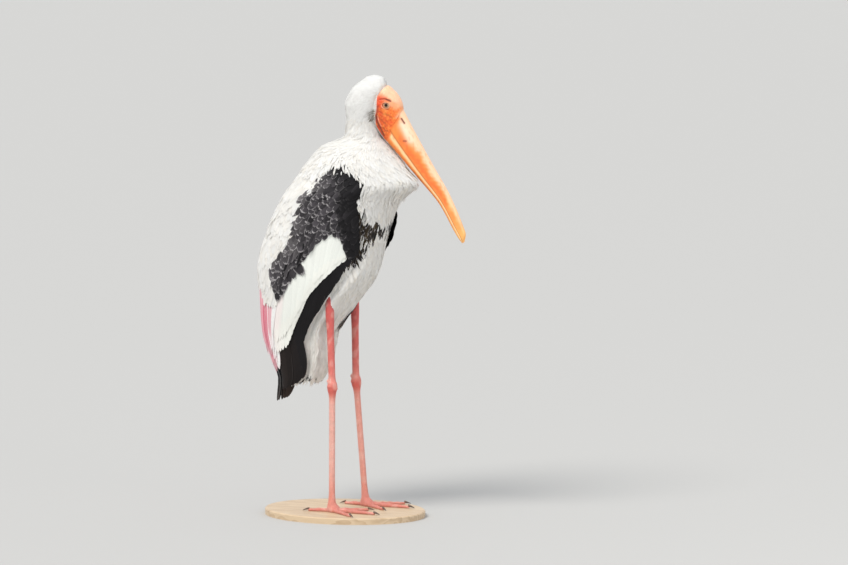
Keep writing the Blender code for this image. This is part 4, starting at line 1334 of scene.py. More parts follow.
    def down_tint(self, points: Array) -> Array:
        """The coat's own markings on the skin under it: white, black under the dark wing and breast feathers."""
        local = points - ORIGIN
        front, back, half, centre = OUTLINE.reach_at(local[:, 2])
        ahead = local[:, 0] - centre
        reach = np.where(ahead > 0, front - centre, centre - back)
        degrees = np.degrees(np.arctan2(np.abs(local[:, 1]) / half, ahead / reach))
        colours = Shade.WHITE.over(len(points))
        for outline in DARK_AREAS:
            colours[inside(outline, local[:, 2], degrees)] = Shade.BLACK.value
        return colours

    def face_tint(self, points: Array) -> Array:
        """Orange skin: peach on the forehead, deeper behind the eye, cream at the bill, brown painted shade in the
        folds, darker red painted shade in the fine wrinkles, and painted shade and highlight round the lids.
        """
        plane = head_plane(points)
        view = plane[:, ::2]
        wobble = 0.004 * ripple(plane, 0.016, 11)
        rear = 1 - smooth_step(view[:, 0] + wobble, 0.074, 0.094)
        brow = smooth_step(view[:, 1] + 0.62 * view[:, 0] + wobble, 0.836, 0.858)
        calm = 0.45 * (1 - 0.8 * brow)
        hot = streak_along(view, ((0.078, 0.778), (0.081, 0.789), (0.090, 0.790)), 0.0048)
        warm = streak_along(view, ((0.0850, 0.7500), (0.0930, 0.7420), (0.1000, 0.7440)), 0.0060)
        ahead, rise = (view - np.array(EYE_PLACE)[::2]).T
        past = self.past_lid(ahead, rise)
        return blend_colours(
            spread_colour(self.orange, (len(points),)),
            (self.deep_orange, 0.85 * rear),
            (self.gold, calm * smooth_step(ripple(plane, 0.0070, 13), 0.1, 0.8)),
            (self.deep_orange, calm * smooth_step(ripple(plane, 0.0052, 12), 0.15, 0.8)),
            (self.peach, 0.95 * brow),
            (self.cream, 0.55 * streak_along(view, ((0.1010, 0.7790), (0.1110, 0.7740)), 0.0050)),
            (self.cream, 0.60 * streak_along(view, ((0.1199, 0.7684), (0.1120, 0.7545)), 0.0030)),
            (self.deep_orange, np.clip(0.75 * hot + 0.45 * warm, 0, 0.9)),
            # darker red painted shade along the fine folds
            (self.wrinkle_shade_red, 0.32 * self.wrinkles(plane)),
            # brown painted shade along each fold and along the brow
            *((self.brown, crease.dark * crease.at(view)) for crease in (self.brow, *self.creases)),
            (self.fold_pink, 0.6 * streak_along(view, self.fold, 0.0009)),
            (self.gold, 0.45 * streak_along(view, self.glow, 0.0034)),
            # brown painted shade under the front end of the brow
            (self.brown, 0.90 * streak_along(view, ((0.0925, 0.7883), (0.1004, 0.7846)), 0.0014)),
            # pale lid ring, with painted highlight where it is stronger on the lower lid
            (self.pale_lid_and_highlight, bell(past - 0.0016, 0.0009) * np.where(rise < 0, 0.45, 0.15)),
            # painted shade along the lid opening, stronger above
            (self.lid_rim_shadow, bell(past, 0.0008) * np.where(rise > 0, 0.95, 0.75)),
            (self.feather_edge, 0.95 * smooth_step(behind_edge(view), -0.0008, 0.0012)))

    def leg_tint(self, points: Array) -> Array:
        """Coral legs: dark rose at the shin's top, paler pink down the tarsus, red and cream at the ankle; the pale
        pink is partly random mottling and partly painted highlight.
        """
        height = points[:, 2] - ORIGIN[2]
        parts = np.array(self.leg_shades).T
        colours = np.stack([smooth_curve(height, self.leg_knots, part) for part in parts], axis=-1)
        # pale pink mottling in random patches
        mottling = smooth_step(ripple(points, 0.020, 21), 0.1, 0.9) * 0.35
        tarsus = smooth_step(height, 0.02, 0.10) * (1 - smooth_step(height, 0.205, 0.225))
        # painted highlight: paler pink down the right tarsus and in a band at the back just above the ankle
        pale = np.clip(mottling + tarsus * np.where(points[:, 1] < ORIGIN[1], 0.60, 0.20), 0, 0.85)
        pale = np.maximum(pale, 0.55 * bell(height - 0.252, 0.006) * (points[:, 0] < ORIGIN[0]))
        return blend_colours(colours, (self.leg_pale_and_highlight, pale))

    def build(self) -> None:
        """Unites body, face and legs into one closed mesh, colours it and dresses it."""
        pieces = []
        for name, rings in (("skin", self.body_rings()), ("face_skin_part", self.face_rings())):
            sheet = MeshSheet()
            sheet.add(rings)
            pieces.append(sheet.make(name, 180))
        pieces += [leg.body() for leg in LEGS]
        for kind, piece in zip((0, 1, 2, 2), pieces):
            piece.data.materials.clear()
            for finish in (Finish.DOWN, Finish.FACE, Finish.LEG):
                piece.data.materials.append(finish.material())
            faces = piece.data.polygons
            faces.foreach_set("material_index", np.full(len(faces), kind, np.int32))
        skin = pieces[0]
        for piece in pieces[1:]:
            union = skin.modifiers.new("join_" + piece.name, "BOOLEAN")
            union.operation, union.solver, union.object, union.material_mode = "UNION", "EXACT", piece, "INDEX"
        mesh = settled(skin)
        for piece in pieces[1:]:
            bpy.data.objects.remove(piece)
        points = mesh_points(mesh)
        face_kind, sizes = (read_whole(mesh.polygons, label) for label in ("material_index", "loop_total"))
        kind = np.zeros(len(points), np.int32)
        np.maximum.at(kind, read_whole(mesh.loops, "vertex_index"), np.repeat(face_kind, sizes))
        tint = np.ones((len(points), 4))
        for number, colour in enumerate((self.down_tint, self.face_tint, self.leg_tint)):
            tint[kind == number, :3] = colour(points[kind == number])
        layer = mesh.color_attributes.new("Tint", "FLOAT_COLOR", "POINT")
        layer.data.foreach_set("color", tint.astype(np.float32).ravel())
        mesh.shade_smooth()
        flesh = ["head", "face", "neck", "ruff", "trunk", "undertail"]
        flesh += [part + leg.side for leg in LEGS for part in
                  ("shin_", "tarsus_", "foot_", "middle_toe_", "outer_toe_", "inner_toe_", "hind_toe_")]
        dress(skin, "bare_skin", flesh)


# ---------------------------------------------------------------- bill, eyes, claws, base


@dataclass
class Bill:
    """The long bill in two halves that meet along the mouth line, bent down at the tip."""

    # Head plane, (forward, height) from base to tip: the ridge above, then the keel below.
    culmen: tuple = ((0.1199, 0.7684), (0.1362, 0.7379), (0.1783, 0.6638), (0.2117, 0.6069), (0.2363, 0.5516),
                     (0.2424, 0.5330), (0.2400, 0.5190))
    gonys: tuple = ((0.0885, 0.7060), (0.1016, 0.6916), (0.1486, 0.6387), (0.1925, 0.5875), (0.2188, 0.5405),
                    (0.2290, 0.5245), (0.2355, 0.5160))
    half_widths: tuple = (0.0172, 0.0158, 0.0120, 0.0090, 0.0068, 0.0056, 0.0022)
    # The mouth line's place between ridge (0) and keel (1), from base to tip.
    mouth: tuple = (0.66, 0.67, 0.70, 0.70, 0.66, 0.64, 0.60)
    nostril: tuple = ((0.1192, 0.7512), (0.1248, 0.7425))
    groove: tuple = ((0.1248, 0.7425), (0.1450, 0.7080), (0.1720, 0.6600))
    pale_root: tuple = ((0.1215, 0.7400), (0.1290, 0.7260), (0.1370, 0.7110))
    stain: tuple = ((0.1248, 0.7096), (0.1290, 0.7092))
    orange: Colour = (0.83, 0.26, 0.050)
    deep: Colour = (0.80, 0.130, 0.020)
    yellow: Colour = (0.88, 0.45, 0.13)
    # ridge: painted highlight along the top of the upper half
    ridge: Colour = (0.88, 0.58, 0.37)
    pale: Colour = (0.90, 0.68, 0.50)
    root_orange: Colour = (0.80, 0.18, 0.030)
    # pale edge at the mouth, partly its own colour and partly painted highlight
    lip_pale_and_highlight: Colour = (0.92, 0.62, 0.32)
    line_brown: Colour = (0.45, 0.13, 0.03)
    keel_brown: Colour = (0.78, 0.36, 0.12)
    fleck_red: Colour = (0.70, 0.13, 0.030)
    # painted shade inside the nostril slit
    nostril_shade: Colour = (0.16, 0.016, 0.010)
    stain_brown: Colour = (0.21, 0.040, 0.014)
    chin_orange: Colour = (0.83, 0.17, 0.035)
    gap: float = 0.0003
    rows: int = 380
    around: int = 91

    def half(self, upper: bool) -> tuple[Array, Array, Array]:
        """Rings of one half and the parameters of their points.

        A ring is half an ellipse over the mouth line: lip + sin(arc)^0.8 * reach up or down, cos(arc) * half
        width across. The nostril is a slit pressed into the upper half, and a groove runs on from it.

        Args:
            upper: True for the upper half.

        Returns:
            Points in the head's plane (rows, around, 3), the share of the length (rows, 1) and the arc (around).
        """
        knots = np.linspace(0, 1, len(self.culmen))
        share = (np.linspace(0, 1, self.rows) ** 1.35)[:, None]
        top, bottom = (np.concatenate([smooth_curve(share, knots, part) for part in np.array(line).T], axis=1)
                       for line in (self.culmen, self.gonys))
        width = smooth_curve(share, knots, self.half_widths)
        mouth = smooth_curve(share, knots, self.mouth)
        lip = top + (bottom - top) * mouth
        reach = (top if upper else bottom) - lip
        shift = unit(reach) * self.gap / 2
        arc = np.linspace(0, math.pi, self.around)
        rows = (lip + shift)[:, None] + (np.sin(arc)[:, None] ** 0.8) * (reach - shift)[:, None]
        narrow = 1 - 0.10 * np.sin(arc) ** 2 if upper else np.full(self.around, 0.93)
        plane = np.stack([rows[..., 0], np.cos(arc) * narrow * width, rows[..., 1]], axis=-1)
        if upper:
            view = plane[..., ::2]
            press = 0.0018 * streak_along(view, self.nostril, 0.0010)
            press = press + 0.0004 * streak_along(view, self.groove, 0.0016)
            plane[..., 1] -= np.sign(plane[..., 1]) * press * np.minimum(np.abs(plane[..., 1]) / 0.003, 1)
            plane[..., 1] *= 1 + 0.012 * ripple(plane, 0.03, 31)
        return plane, share, arc

    def tint(self, plane: Array, share: Array, arc: Array, upper: bool) -> Array:
        """Horn colours: a pinkish ridge that is painted highlight, orange flanks with a deeper band that is partly
        painted shade, a pale line at the mouth that is partly painted highlight, a nostril painted dark as shade,
        yellow tip and cream base.
        """
        rise = np.sin(arc)[None, :] + 0 * share
        share = share + 0 * rise
        view = plane[..., ::2]
        long = plane * (1, 1, 0.35)
        wobble = 0.08 * ripple(long, 0.020, 32) + 0.05 * ripple(plane, 0.007, 33)
        # a deeper orange band, partly the horn's own colour and partly painted shade low on the upper half
        deep_band_and_shade = bell(rise - (0.20 if upper else 0.75) + wobble, 0.20) * (1 - smooth_step(share, 0.40, 0.85))
        line = (self.line_brown, 0.8 * (1 - smooth_step(rise, 0.0, 0.05)))
        tip = smooth_step(share + wobble * 0.5, 0.40, 0.85)
        fleck = (self.fleck_red, 0.25 * smooth_step(ripple(long, 0.0060, 34), 0.30, 1.0) * (1 - tip))
        colours = blend_colours(spread_colour(self.orange, plane.shape[:-1]),
                                (self.deep, (0.75 if upper else 0.35) * deep_band_and_shade * smooth_step(share, 0.02, 0.25)))
        if upper:
            # where the ridge's painted highlight lies
            top = smooth_step(rise + wobble, 0.38, 0.80) * (1 - smooth_step(share, 0.55, 0.95))
            base = streak_along(view, self.pale_root, 0.0070)
            root = (1 - smooth_step(share + 0.2 * wobble, 0.0, 0.050)) * (1 - smooth_step(rise, 0.55, 0.85))
            colours = blend_colours(
                # painted highlight along the ridge
                colours, (self.ridge, 0.85 * top), (self.pale, np.clip(0.75 * base * (1 - 1.5 * wobble), 0, 0.9)),
                (self.root_orange, 0.85 * root * (1 - 0.6 * base)), (self.yellow, 0.85 * tip), line, fleck,
                # painted shade in the pressed nostril slit
                (self.nostril_shade, 0.95 * streak_along(view, self.nostril, 0.0016)),
                (self.stain_brown, 0.85 * streak_along(view, self.stain, 0.0019) * (plane[..., 1] < 0)))
        else:
            # pale mouth edge of the lower half, partly painted highlight
            lip = (1 - smooth_step(rise + 0.5 * wobble, 0.16, 0.48)) * smooth_step(share, 0.0, 0.05)
            keel = smooth_step(rise, 0.80, 0.97) * smooth_step(share, 0.05, 0.2)
            chin = 1 - smooth_step(share, 0.0, 0.05)
            colours = blend_colours(colours, (self.yellow, 0.85 * tip), (self.lip_pale_and_highlight, 0.85 * lip), line,
                                    (self.keel_brown, 0.6 * keel), fleck, (self.chin_orange, 0.8 * chin))
        return with_fringe(colours)

    def build(self) -> None:
        """Makes both halves."""
        for name, upper, node in (("upper_bill_horn", True, "bill_upper"), ("lower_bill_horn", False, "bill_lower")):
            plane, share, arc = self.half(upper)
            sheet = MeshSheet()
            sheet.add((turn_head(plane) + ORIGIN)[None], self.tint(plane, share, arc, upper)[None])
            dress(sheet.make(name, 50), "bill", [node], Finish.HORN)


@dataclass
class Eyes:
    """Two eyeballs with a raised cornea over pupil and pale iris."""

    ball: float = 0.0083
    cornea: float = 0.0005  # how far the cornea bulges
    pupil: float = 0.0026
    iris: float = 0.0056
    iris_buff: Colour = (0.52, 0.36, 0.23)
    spoke_brown: Colour = (0.30, 0.19, 0.10)
    # painted shadow of the upper lid on the iris
    iris_lid_shadow: Colour = (0.13, 0.050, 0.022)
    ring_brown: Colour = (0.16, 0.055, 0.022)
    black: Colour = (0.004, 0.003, 0.003)
    rim_brown: Colour = (0.08, 0.030, 0.018)

    def build(self) -> None:
        """Makes both eyes. Radius at an angle from the eye's axis is the ball's plus a bump at the cornea."""
        angle = np.linspace(0.01, math.pi - 0.01, 60)[:, None]
        around = np.arange(48)[None, :] * TURN / 48
        radius = self.ball + self.cornea * bell(angle, 0.60)
        out = self.ball * np.sin(angle) + 0 * around + np.where(angle > math.pi / 2, 1.0, 0.0)
        spokes = 0.5 + 0.5 * np.sin(around * 23) * np.sin(around * 7 + 1)
        colours = blend_colours(
            spread_colour(self.iris_buff, out.shape),
            (self.spoke_brown, 0.30 * spokes),
            # painted shadow of the upper lid across the top of the iris
            (self.iris_lid_shadow, 0.75 * smooth_step(np.cos(around) + 0 * out, 0.1, 0.95)),
            (self.ring_brown, 0.9 * (1 - smooth_step(out, self.pupil + 0.0003, self.pupil + 0.0014))),
            (self.black, 1 - smooth_step(out, self.pupil - 0.0006, self.pupil)),
            (self.rim_brown, smooth_step(out, self.iris - 0.0003, self.iris + 0.0002)))
        up = np.array([0.0, 0.0, 1.0])
        for side, sign in (("left", 1), ("right", -1)):
            axis = eye_axis(sign)
            ring = np.cos(around)[..., None] * up + np.sin(around)[..., None] * np.cross(axis, up)
            plane = np.array(EYE_PLACE) * (1, sign, 1) + radius[..., None] * (
                np.cos(angle)[..., None] * axis + np.sin(angle)[..., None] * ring)
            sheet = MeshSheet()
            sheet.add((turn_head(plane) + ORIGIN)[None], with_fringe(colours)[None])
            dress(sheet.make(side + "_eyeball", 180), "eye", ["eye_" + side], Finish.EYE)


def build_claws() -> None:
    """Makes the claws of both feet."""
    for leg in LEGS:
        nodes = [toe + "_claw_" + leg.side for toe in leg.toes]
        dress(leg.claws(), "claw", nodes, Finish.CLAW)


def dress_base() -> None:
    """Gives the carried-over base its oak."""
    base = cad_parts["stand_base"]
    base.data.materials.clear()
    base.data.materials.append(Finish.OAK.material())


# ---------------------------------------------------------------- plumage


def behind_face(points: Array) -> Array:
    """Whether places of the head lie behind the feather line of the face."""
    return behind_edge(head_plane(points)[..., ::2]) > 0


def level(border: Sequence, height: Array) -> Array:
    """The degrees of a border at given heights."""
    heights, degrees = np.array(sorted(border), float).T
    return np.interp(height, heights + np.arange(len(heights)) * 1e-6, degrees)


@dataclass(frozen=True)
class Clump:
    """How feathers gather into locks: distance between locks, degrees they turn together, metres they stand out."""

    spacing: float
    turn: float
    lift: float


@dataclass
class Tract:
    """One piece of the coat, with its finish, its slot and the nodes that it stands for."""

    name: str
    finish: Finish
    slot: str
    seed: int
    replaced: tuple = ()
    sheet: MeshSheet = field(default_factory=MeshSheet)

    def __post_init__(self) -> None:
        """Starts the tract's own random numbers."""
        self.rng = np.random.default_rng(self.seed)

    def jitter(self, count: int, amount: float) -> Array:
        """Random numbers about 0."""
        return self.rng.normal(size=count) * amount

    def tints(self, cut: Cut, root: Array, tip: Array, turn: float = 0.6, uneven: float = 0.05,
              fringe: Array | float = 0.0) -> Array:
        """Colours that go from root to tip along each feather.

        Args:
            cut: The feathers' cut.
            root: Colour at the root, (3,) or (feathers, 3).
            tip: Colour at the tip, (feathers, 3).
            turn: Share of the length at which it changes.
            uneven: How much lighter or darker a feather may be.
            fringe: Strength of the pale fringe.

        Returns:
            An array (feathers, rows, 4).
        """
        tip = np.atleast_2d(np.asarray(tip, float))
        root = np.broadcast_to(np.asarray(root, float), tip.shape)
        share = smooth_step(cut.stations(), turn - 0.25, turn + 0.25)[None, :, None]
        colours = root[:, None] + (tip - root)[:, None] * share
        colours = colours * (1 + uneven * self.rng.uniform(-1, 1, (len(tip), 1, 1)))
        return with_fringe(colours, np.reshape(fringe, (-1, 1, 1)))

    def row(self, form: Form, sign: int, cut: Cut, start: tuple, end: tuple) -> Feathers:
        """A row of feathers between two lines given as (heights, degrees), on the left (1) or right (-1)."""
        return Feathers.span(form, (start[0], sign * start[1]), (end[0], sign * end[1]), cut, self.rng)

    def lay(self, form: Form, places: tuple[Array, Array], lie: Array, cut: Cut, tint: Array,
            size: Array | float, clump: Clump, lift: Array | float = 0.0) -> None:
        """Grows feathers at places and adds them.

        Args:
            form: The form they lie on.
            places: Their roots.
            lie: Degrees from straight down.
            cut: Their cut.
            tint: Their colours.
            size: Scale of each.
            clump: How neighbours gather into locks.
            lift: How much further each tip stands out, in metres.
        """
        points = form.point(*places)
        lie = lie + clump.turn * ripple(points, clump.spacing, self.seed)
        lift = lift + clump.lift * np.clip(ripple(points, clump.spacing, self.seed + 1), -0.6, 1)
        batch = Feathers.grow(form, *places, lie, cut, self.rng, size)
        batch.depth = batch.depth - np.reshape(lift, (-1, 1)) * cut.stations() ** 1.5
        batch.into(self.sheet, tint)

    def done(self) -> None:
        """Makes the piece."""
        dress(self.sheet.make(self.name), self.slot, self.replaced, self.finish)


@dataclass
class Plumage:
    """All feathers of the bird."""

    left: BodyForm = field(default_factory=lambda: BodyForm(lifted=True))
    quill: Cut = Cut(0.1, 0.019, rows=14, columns=7, thickness=0.0006, unevenness=0.05)  # laid from root to tip

    def build(self) -> None:
        """Makes every tract."""
        self.head()
        self.neck()
        self.breast()
        self.vent()
        for side, form in (("right", OUTLINE), ("left", self.left)):
            sign = 1 if side == "left" else -1
            self.mantle(side, sign)
            self.coverts(side, sign, form)
            self.panel(side, sign, form)
            self.flight(side, sign, form)
            self.tertials(side, sign)
        self.tail()

    @staticmethod
    def kept(places: tuple[Array, Array], chosen: Array) -> tuple[Array, Array]:
        """The chosen places."""
        return places[0][chosen], places[1][chosen]

    @staticmethod
    def reached(start: tuple, end: tuple, share: Array | float) -> tuple[Array, Array]:
        """Places at a share of the way from one line to another."""
        return tuple(first + (second - first) * share for first, second in zip(start, end))

    def head(self) -> None:
        """Short ruffled tufts on crown, nape and cheeks."""
        tract = Tract("crown_tufts", Finish.WHITE, "white_feathers", 101)
        cut = Cut(0.0105, 0.0034, fullness=2.2, root_depth=0.0021, tip_depth=0.0002, cup=0.09, thickness=0.00016,
                  spread=10, unevenness=0.30, fray=0.0010, softness=0.8)
        places = scatter(OUTLINE, 0.0019, 0.752, 0.8318)
        places = self.kept(places, behind_face(OUTLINE.point(*places)))
        height, around = places[0], np.abs(places[1])
        side_lie = 62 * smooth_step(180 - around, 10, 70) + 12 * smooth_step(70 - around, 0, 40)
        neck_lie = self.neck_lie(around)
        side_lie = neck_lie + (side_lie - neck_lie) * smooth_step(height, 0.742, 0.790)
        lie = side_lie + (180 - around - side_lie) * smooth_step(height, 0.800, 0.826)
        tract.lay(OUTLINE, places, lie, cut, self.head_tint(tract, OUTLINE.point(*places), cut), 1.0,
                  Clump(0.011, 18, 0.0009))
        places = scatter(FACE, 0.0018, 0.02, 0.90)
        points = FACE.point(*places)
        places = self.kept(places, behind_face(points) & (points[:, 2] - ORIGIN[2] > 0.718))
        cheek = replace(cut, length=0.0080, width=0.0026, root_depth=0.0010, tip_depth=-0.0008)
        lie = 5 + 30 * smooth_step(np.abs(places[1]), 60, 150)
        points = FACE.point(*places)
        size = 0.60 + 0.40 * smooth_step(behind_edge(head_plane(points)[:, ::2]), 0, 0.006)
        tract.lay(FACE, places, lie, cheek, self.head_tint(tract, points, cheek), size, Clump(0.008, 16, 0.0005))
        tract.done()

    @staticmethod
    def neck_lie(around: Array) -> Array:
        """Degrees from straight down at which the neck's feathers lie, most at its sides."""
        return 12 + 16 * np.sin(np.radians(around))

    def head_tint(self, tract: Tract, points: Array, cut: Cut) -> Array:
        """White with a buff ear tuft and a faintly warm edge at the face."""
        view = head_plane(points)[:, ::2]
        ear = streak_along(view, ((0.0690, 0.7650), (0.0675, 0.7520)), 0.0042)
        ear = np.clip(ear * tract.rng.uniform(0.2, 1.4, len(points)), 0, 1)
        near = 1 - smooth_step(behind_edge(view), 0.0005, 0.0030)
        tip = blend_colours(Shade.WHITE.over(len(points)), (Shade.FACE_EDGE.value, 0.4 * near),
                            (Shade.EAR.value, 0.85 * ear))
        # roots a little darker: painted shade under the covering tufts
        root = blend_colours(tip * 0.97, (Shade.FACE_EDGE_ROOT.value, 0.5 * near))
        return tract.tints(cut, root, tip, 0.4, uneven=0.03)

    def neck(self) -> None:
        """Locks of the neck that lengthen into the ruff's pointed plumes."""
        tract = Tract("neck_locks", Finish.WHITE, "white_feathers", 102)
        places = scatter(OUTLINE, lambda height: 0.0024 + 0.0014 * (1 - smooth_step(height, 0.68, 0.73)),
                         0.693, 0.757)
        places = self.kept(places, behind_face(OUTLINE.point(*places)))
        cut = Cut(0.0150, 0.0042, columns=4, fullness=2.3, root_depth=0.0030, tip_depth=0.0002, cup=0.10,
                  thickness=0.00022, spread=9, unevenness=0.30, fray=0.0018, softness=0.8)
        size = 1 + 0.55 * (1 - smooth_step(places[0], 0.69, 0.735))
        lie = self.neck_lie(np.abs(places[1])) * (1 + 0.25 * smooth_step(places[0], 0.735, 0.757))
        tract.lay(OUTLINE, places, lie, cut, self.white_tint(tract, len(lie), cut), size, Clump(0.014, 14, 0.0010))
        tract.done()
        tract = Tract("ruff_plumes", Finish.WHITE, "white_feathers", 103)
        places = scatter(OUTLINE, 0.0046, 0.588, 0.702)
        around = np.abs(places[1])
        border = np.where(places[0] > 0.660, 181, level(WING.front, places[0]))
        ahead = (around < border + 1) | ((around > 96) & (places[0] > 0.655))
        places = self.kept(places, ahead)
        around = np.abs(places[1])
        cut = Cut(0.027, 0.0076, rows=6, columns=5, fullness=2.4, root_depth=0.0042, tip_depth=0.0007, cup=0.07,
                  thickness=0.00020, spread=7, unevenness=0.25, fray=0.0024, softness=0.9)
        ridge = bell(places[0] - 0.640, 0.030) * (1 - smooth_step(around, 10, 40))
        lie = -22 * bell(around - 50, 30) + 5 * smooth_step(around, 100, 150)
        clear = self.clear_of(places, cut.length, WING.dark_coverts)
        tract.lay(OUTLINE, places, lie, cut, self.white_tint(tract, len(lie), cut), (1 + 0.20 * ridge) * clear,
                  Clump(0.020, 9, 0.0007), ridge * tract.rng.uniform(0.002, 0.012, len(lie)))
        tract.done()

    @staticmethod
    def clear_of(places: tuple[Array, Array], length: float, outline: Array, reach: float = 0.004) -> Array:
        """The share of its length, from 0.5 to 1, at which each feather hardly overlaps an area below it."""
        size = np.ones(len(places[0]))
        for share in np.linspace(0.95, 0.50, 8):
            tip = inside(outline, places[0] - share * length + reach, np.abs(places[1]))
            size = np.where(tip, share, size)
        return size

    def white_tint(self, tract: Tract, count: int, cut: Cut, warm: float = 0.25) -> Array:
        """White feathers, some of them warmer, a little darker at the root as painted shade."""
        share = np.clip(warm + tract.jitter(count, 0.2), 0, 1)
        tip = blend_colours(Shade.WHITE.over(count), (Shade.WARM.value, share))
        return tract.tints(cut, tip * 0.93, tip, uneven=0.035)

    def breast(self) -> None:
        """White plumes of breast and belly under the wings' edge, with the mottled dark band."""
        tract = Tract("breast_plumes", Finish.WHITE, "white_feathers", 104)
        band = Tract("breast_band", Finish.BLACK, "black_feathers", 105)
        places = scatter(TRUNK, 0.0049, 0.335, 0.604)
        around = np.abs(places[1])
        places = self.kept(places, around < smooth_curve(places[0], *OUTLINE.wing_front) + 16)
        cut = Cut(0.028, 0.0086, rows=6, columns=5, fullness=2.5, root_depth=0.0040, tip_depth=0.0008, cup=0.07,
                  thickness=0.00020, spread=6, unevenness=0.25, fray=0.0026, softness=0.9)
        count = len(places[0])
        noisy = places[0] + tract.jitter(count, 0.0045), np.abs(places[1]) + tract.jitter(count, 2.6)
        patchy = ripple(TRUNK.point(*places), 0.030, 7) + tract.jitter(count, 0.35)
        dark = inside(np.array(WING.breast_band), *noisy) & (patchy > -0.55)
        lie = -6 * np.sin(np.radians(np.abs(places[1]) * 2))
        whites, blacks = self.kept(places, ~dark), self.kept(places, dark)
        clump = Clump(0.026, 9, 0.0006)
        tract.lay(TRUNK, whites, lie[~dark], cut, self.white_tint(tract, len(whites[0]), cut, 0.35), 1.0, clump)
        count = len(blacks[0])
        brown = blend_colours(Shade.BLACK.over(count), (Shade.OLIVE.value, band.rng.uniform(0, 1, count) ** 2))
        edged = np.where(band.rng.uniform(size=count) < 0.35, 0.9, 0.1)
        band.lay(TRUNK, blacks, lie[dark], cut, band.tints(cut, brown, brown, uneven=0.3, fringe=edged), 1.0, clump)
        tract.done()
        band.done()

    def vent(self) -> None:
        """Long lax plumes of thighs and vent, some with a dark streak near the tip."""
        tract = Tract("vent_plumes", Finish.WHITE, "white_feathers", 106)
        places = scatter(TRUNK, 0.0050, 0.262, 0.372)
        cut = Cut(0.040, 0.0110, rows=7, columns=5, fullness=2.5, root_depth=0.0052, tip_depth=0.0005, cup=0.08,
                  thickness=0.00028, spread=6, unevenness=0.25, fray=0.0040, softness=0.85)
        around = np.abs(places[1])
        lie = 14 * np.sin(np.radians(around))
        size = np.clip((places[0] - 0.243) / cut.length / 0.95, 0.45, 1)
        count = len(around)
        white = (Shade.WARM.over(count) + Shade.WHITE.over(count)) / 2
        streaked = (tract.rng.uniform(size=count) < 0.30) & (places[0] < 0.284) & (around > 25) & (around < 120)
        tip = np.where(streaked[:, None], Shade.STREAK.over(count), white)
        # roots a little darker: painted shade under the covering plumes
        root = np.where(streaked[:, None], white * 0.45, white * 0.96)
        tract.lay(TRUNK, places, lie, cut, tract.tints(cut, root, tip, turn=0.55), size, Clump(0.03, 8, 0.0014),
                  0.0012 * streaked)
        tract.done()

    def mantle(self, side: str, sign: int) -> None:
        """White feathers of the back and the long scapulars that fall over the wing."""
        tract = Tract("mantle_" + side, Finish.WHITE, "white_feathers", 110 + sign, ("scapulars_" + side,))
        places = scatter(OUTLINE, 0.0062, 0.445, 0.694, *sorted((96 * sign, 180 * sign)))
        places = self.kept(places, np.abs(places[1]) > level(WING.rear, places[0]) - 3)
        cut = Cut(0.042, 0.0165, rows=7, columns=5, fullness=3.0, root_depth=0.0050, tip_depth=0.0006, cup=0.10,
                  thickness=0.00030, spread=4, unevenness=0.20, fray=0.0025, softness=0.75)
        size = 1 + 0.7 * (1 - smooth_step(places[0], 0.48, 0.60))
        size = size * self.clear_of(places, cut.length, WING.dark_coverts, 0.006)
        lowest = np.interp(np.abs(places[1]), (105, 122, 140, 180), (0.388, 0.398, 0.428, 0.424))
        size = np.minimum(size, np.maximum((places[0] - lowest) / cut.length, 0.4))
        lie = -4 + 6 * smooth_step(places[0], 0.60, 0.68)
        tract.lay(OUTLINE, places, lie, cut, self.white_tint(tract, len(lie), cut), size, Clump(0.04, 6, 0.0008))
        tract.done()

    def coverts(self, side: str, sign: int, form: BodyForm) -> None:
        """Slate and black scale-like coverts with thin pale fringes, on the shoulder and down to the panel."""
        tract = Tract("shoulder_coverts_" + side, Finish.BLACK, "black_feathers", 120 + sign, ("coverts_" + side,))
        places = scatter(form, 0.0075, 0.425, 0.672, *sorted((34 * sign, 140 * sign)))
        around = np.abs(places[1])
        within = inside(WING.dark_coverts, places[0] - 0.004, around) & (around < level(WING.rear, places[0]) - 2)
        places = self.kept(places, within)
        height, around = places[0], np.abs(places[1])
        cut = Cut(0.027, 0.0155, rows=8, columns=6, fullness=4.2, root_depth=0.0046, tip_depth=0.0002, cup=0.16,
                  thickness=0.00045, spread=6, unevenness=0.12, fray=0.0012, softness=0.4)
        lie = -12 + 38 * smooth_step(height, 0.49, 0.62)
        lead = 1 - smooth_step(around - level(WING.front, height), 6, 17)
        count = len(height)
        dull = np.clip(0.65 + tract.jitter(count, 0.25) - lead, 0, 1)
        rear = smooth_step(around - level(WING.rear, height), -26, -4) * smooth_step(height, 0.44, 0.50)
        tip = blend_colours(Shade.BLACK.over(count), (Shade.SLATE.value, dull),
                            (Shade.GREY.value, rear * np.clip(0.45 + tract.jitter(count, 0.3), 0, 0.9)))
        fringe = np.clip(0.45 + 0.2 * rear + tract.jitter(count, 0.35), 0, 1) * (1 - 0.95 * lead)
        low_rear = (1 - smooth_step(height, 0.47, 0.56)) * smooth_step(around, 70, 95)
        size = 1 - 0.25 * smooth_step(height, 0.60, 0.66) + 0.55 * low_rear * tract.rng.uniform(0.3, 1, count)
        tract.lay(form, places, lie, cut, tract.tints(cut, tip * 0.7, tip, uneven=0.2, fringe=fringe), size,
                  Clump(0.035, 7, 0.0006))
        number = 13
        heights, degrees = WING.line(WING.covert_tips, np.linspace(0.40, 1.0, number))
        fall = 0.007 + 0.020 * (np.arange(number) % 3 == 1) + tract.rng.uniform(0, 0.006, number)
        tongue = replace(cut, width=0.0095, rows=10, fullness=2.6, root_depth=0.0036, tip_depth=-0.0016)
        row = tract.row(form, sign, tongue, (heights + 0.022, degrees - 1), (heights - fall, degrees + 2.5))
        row.into(tract.sheet, tract.tints(tongue, tip[:number] * 0.7, tip[:number], uneven=0.2, fringe=0.25))
        tract.done()

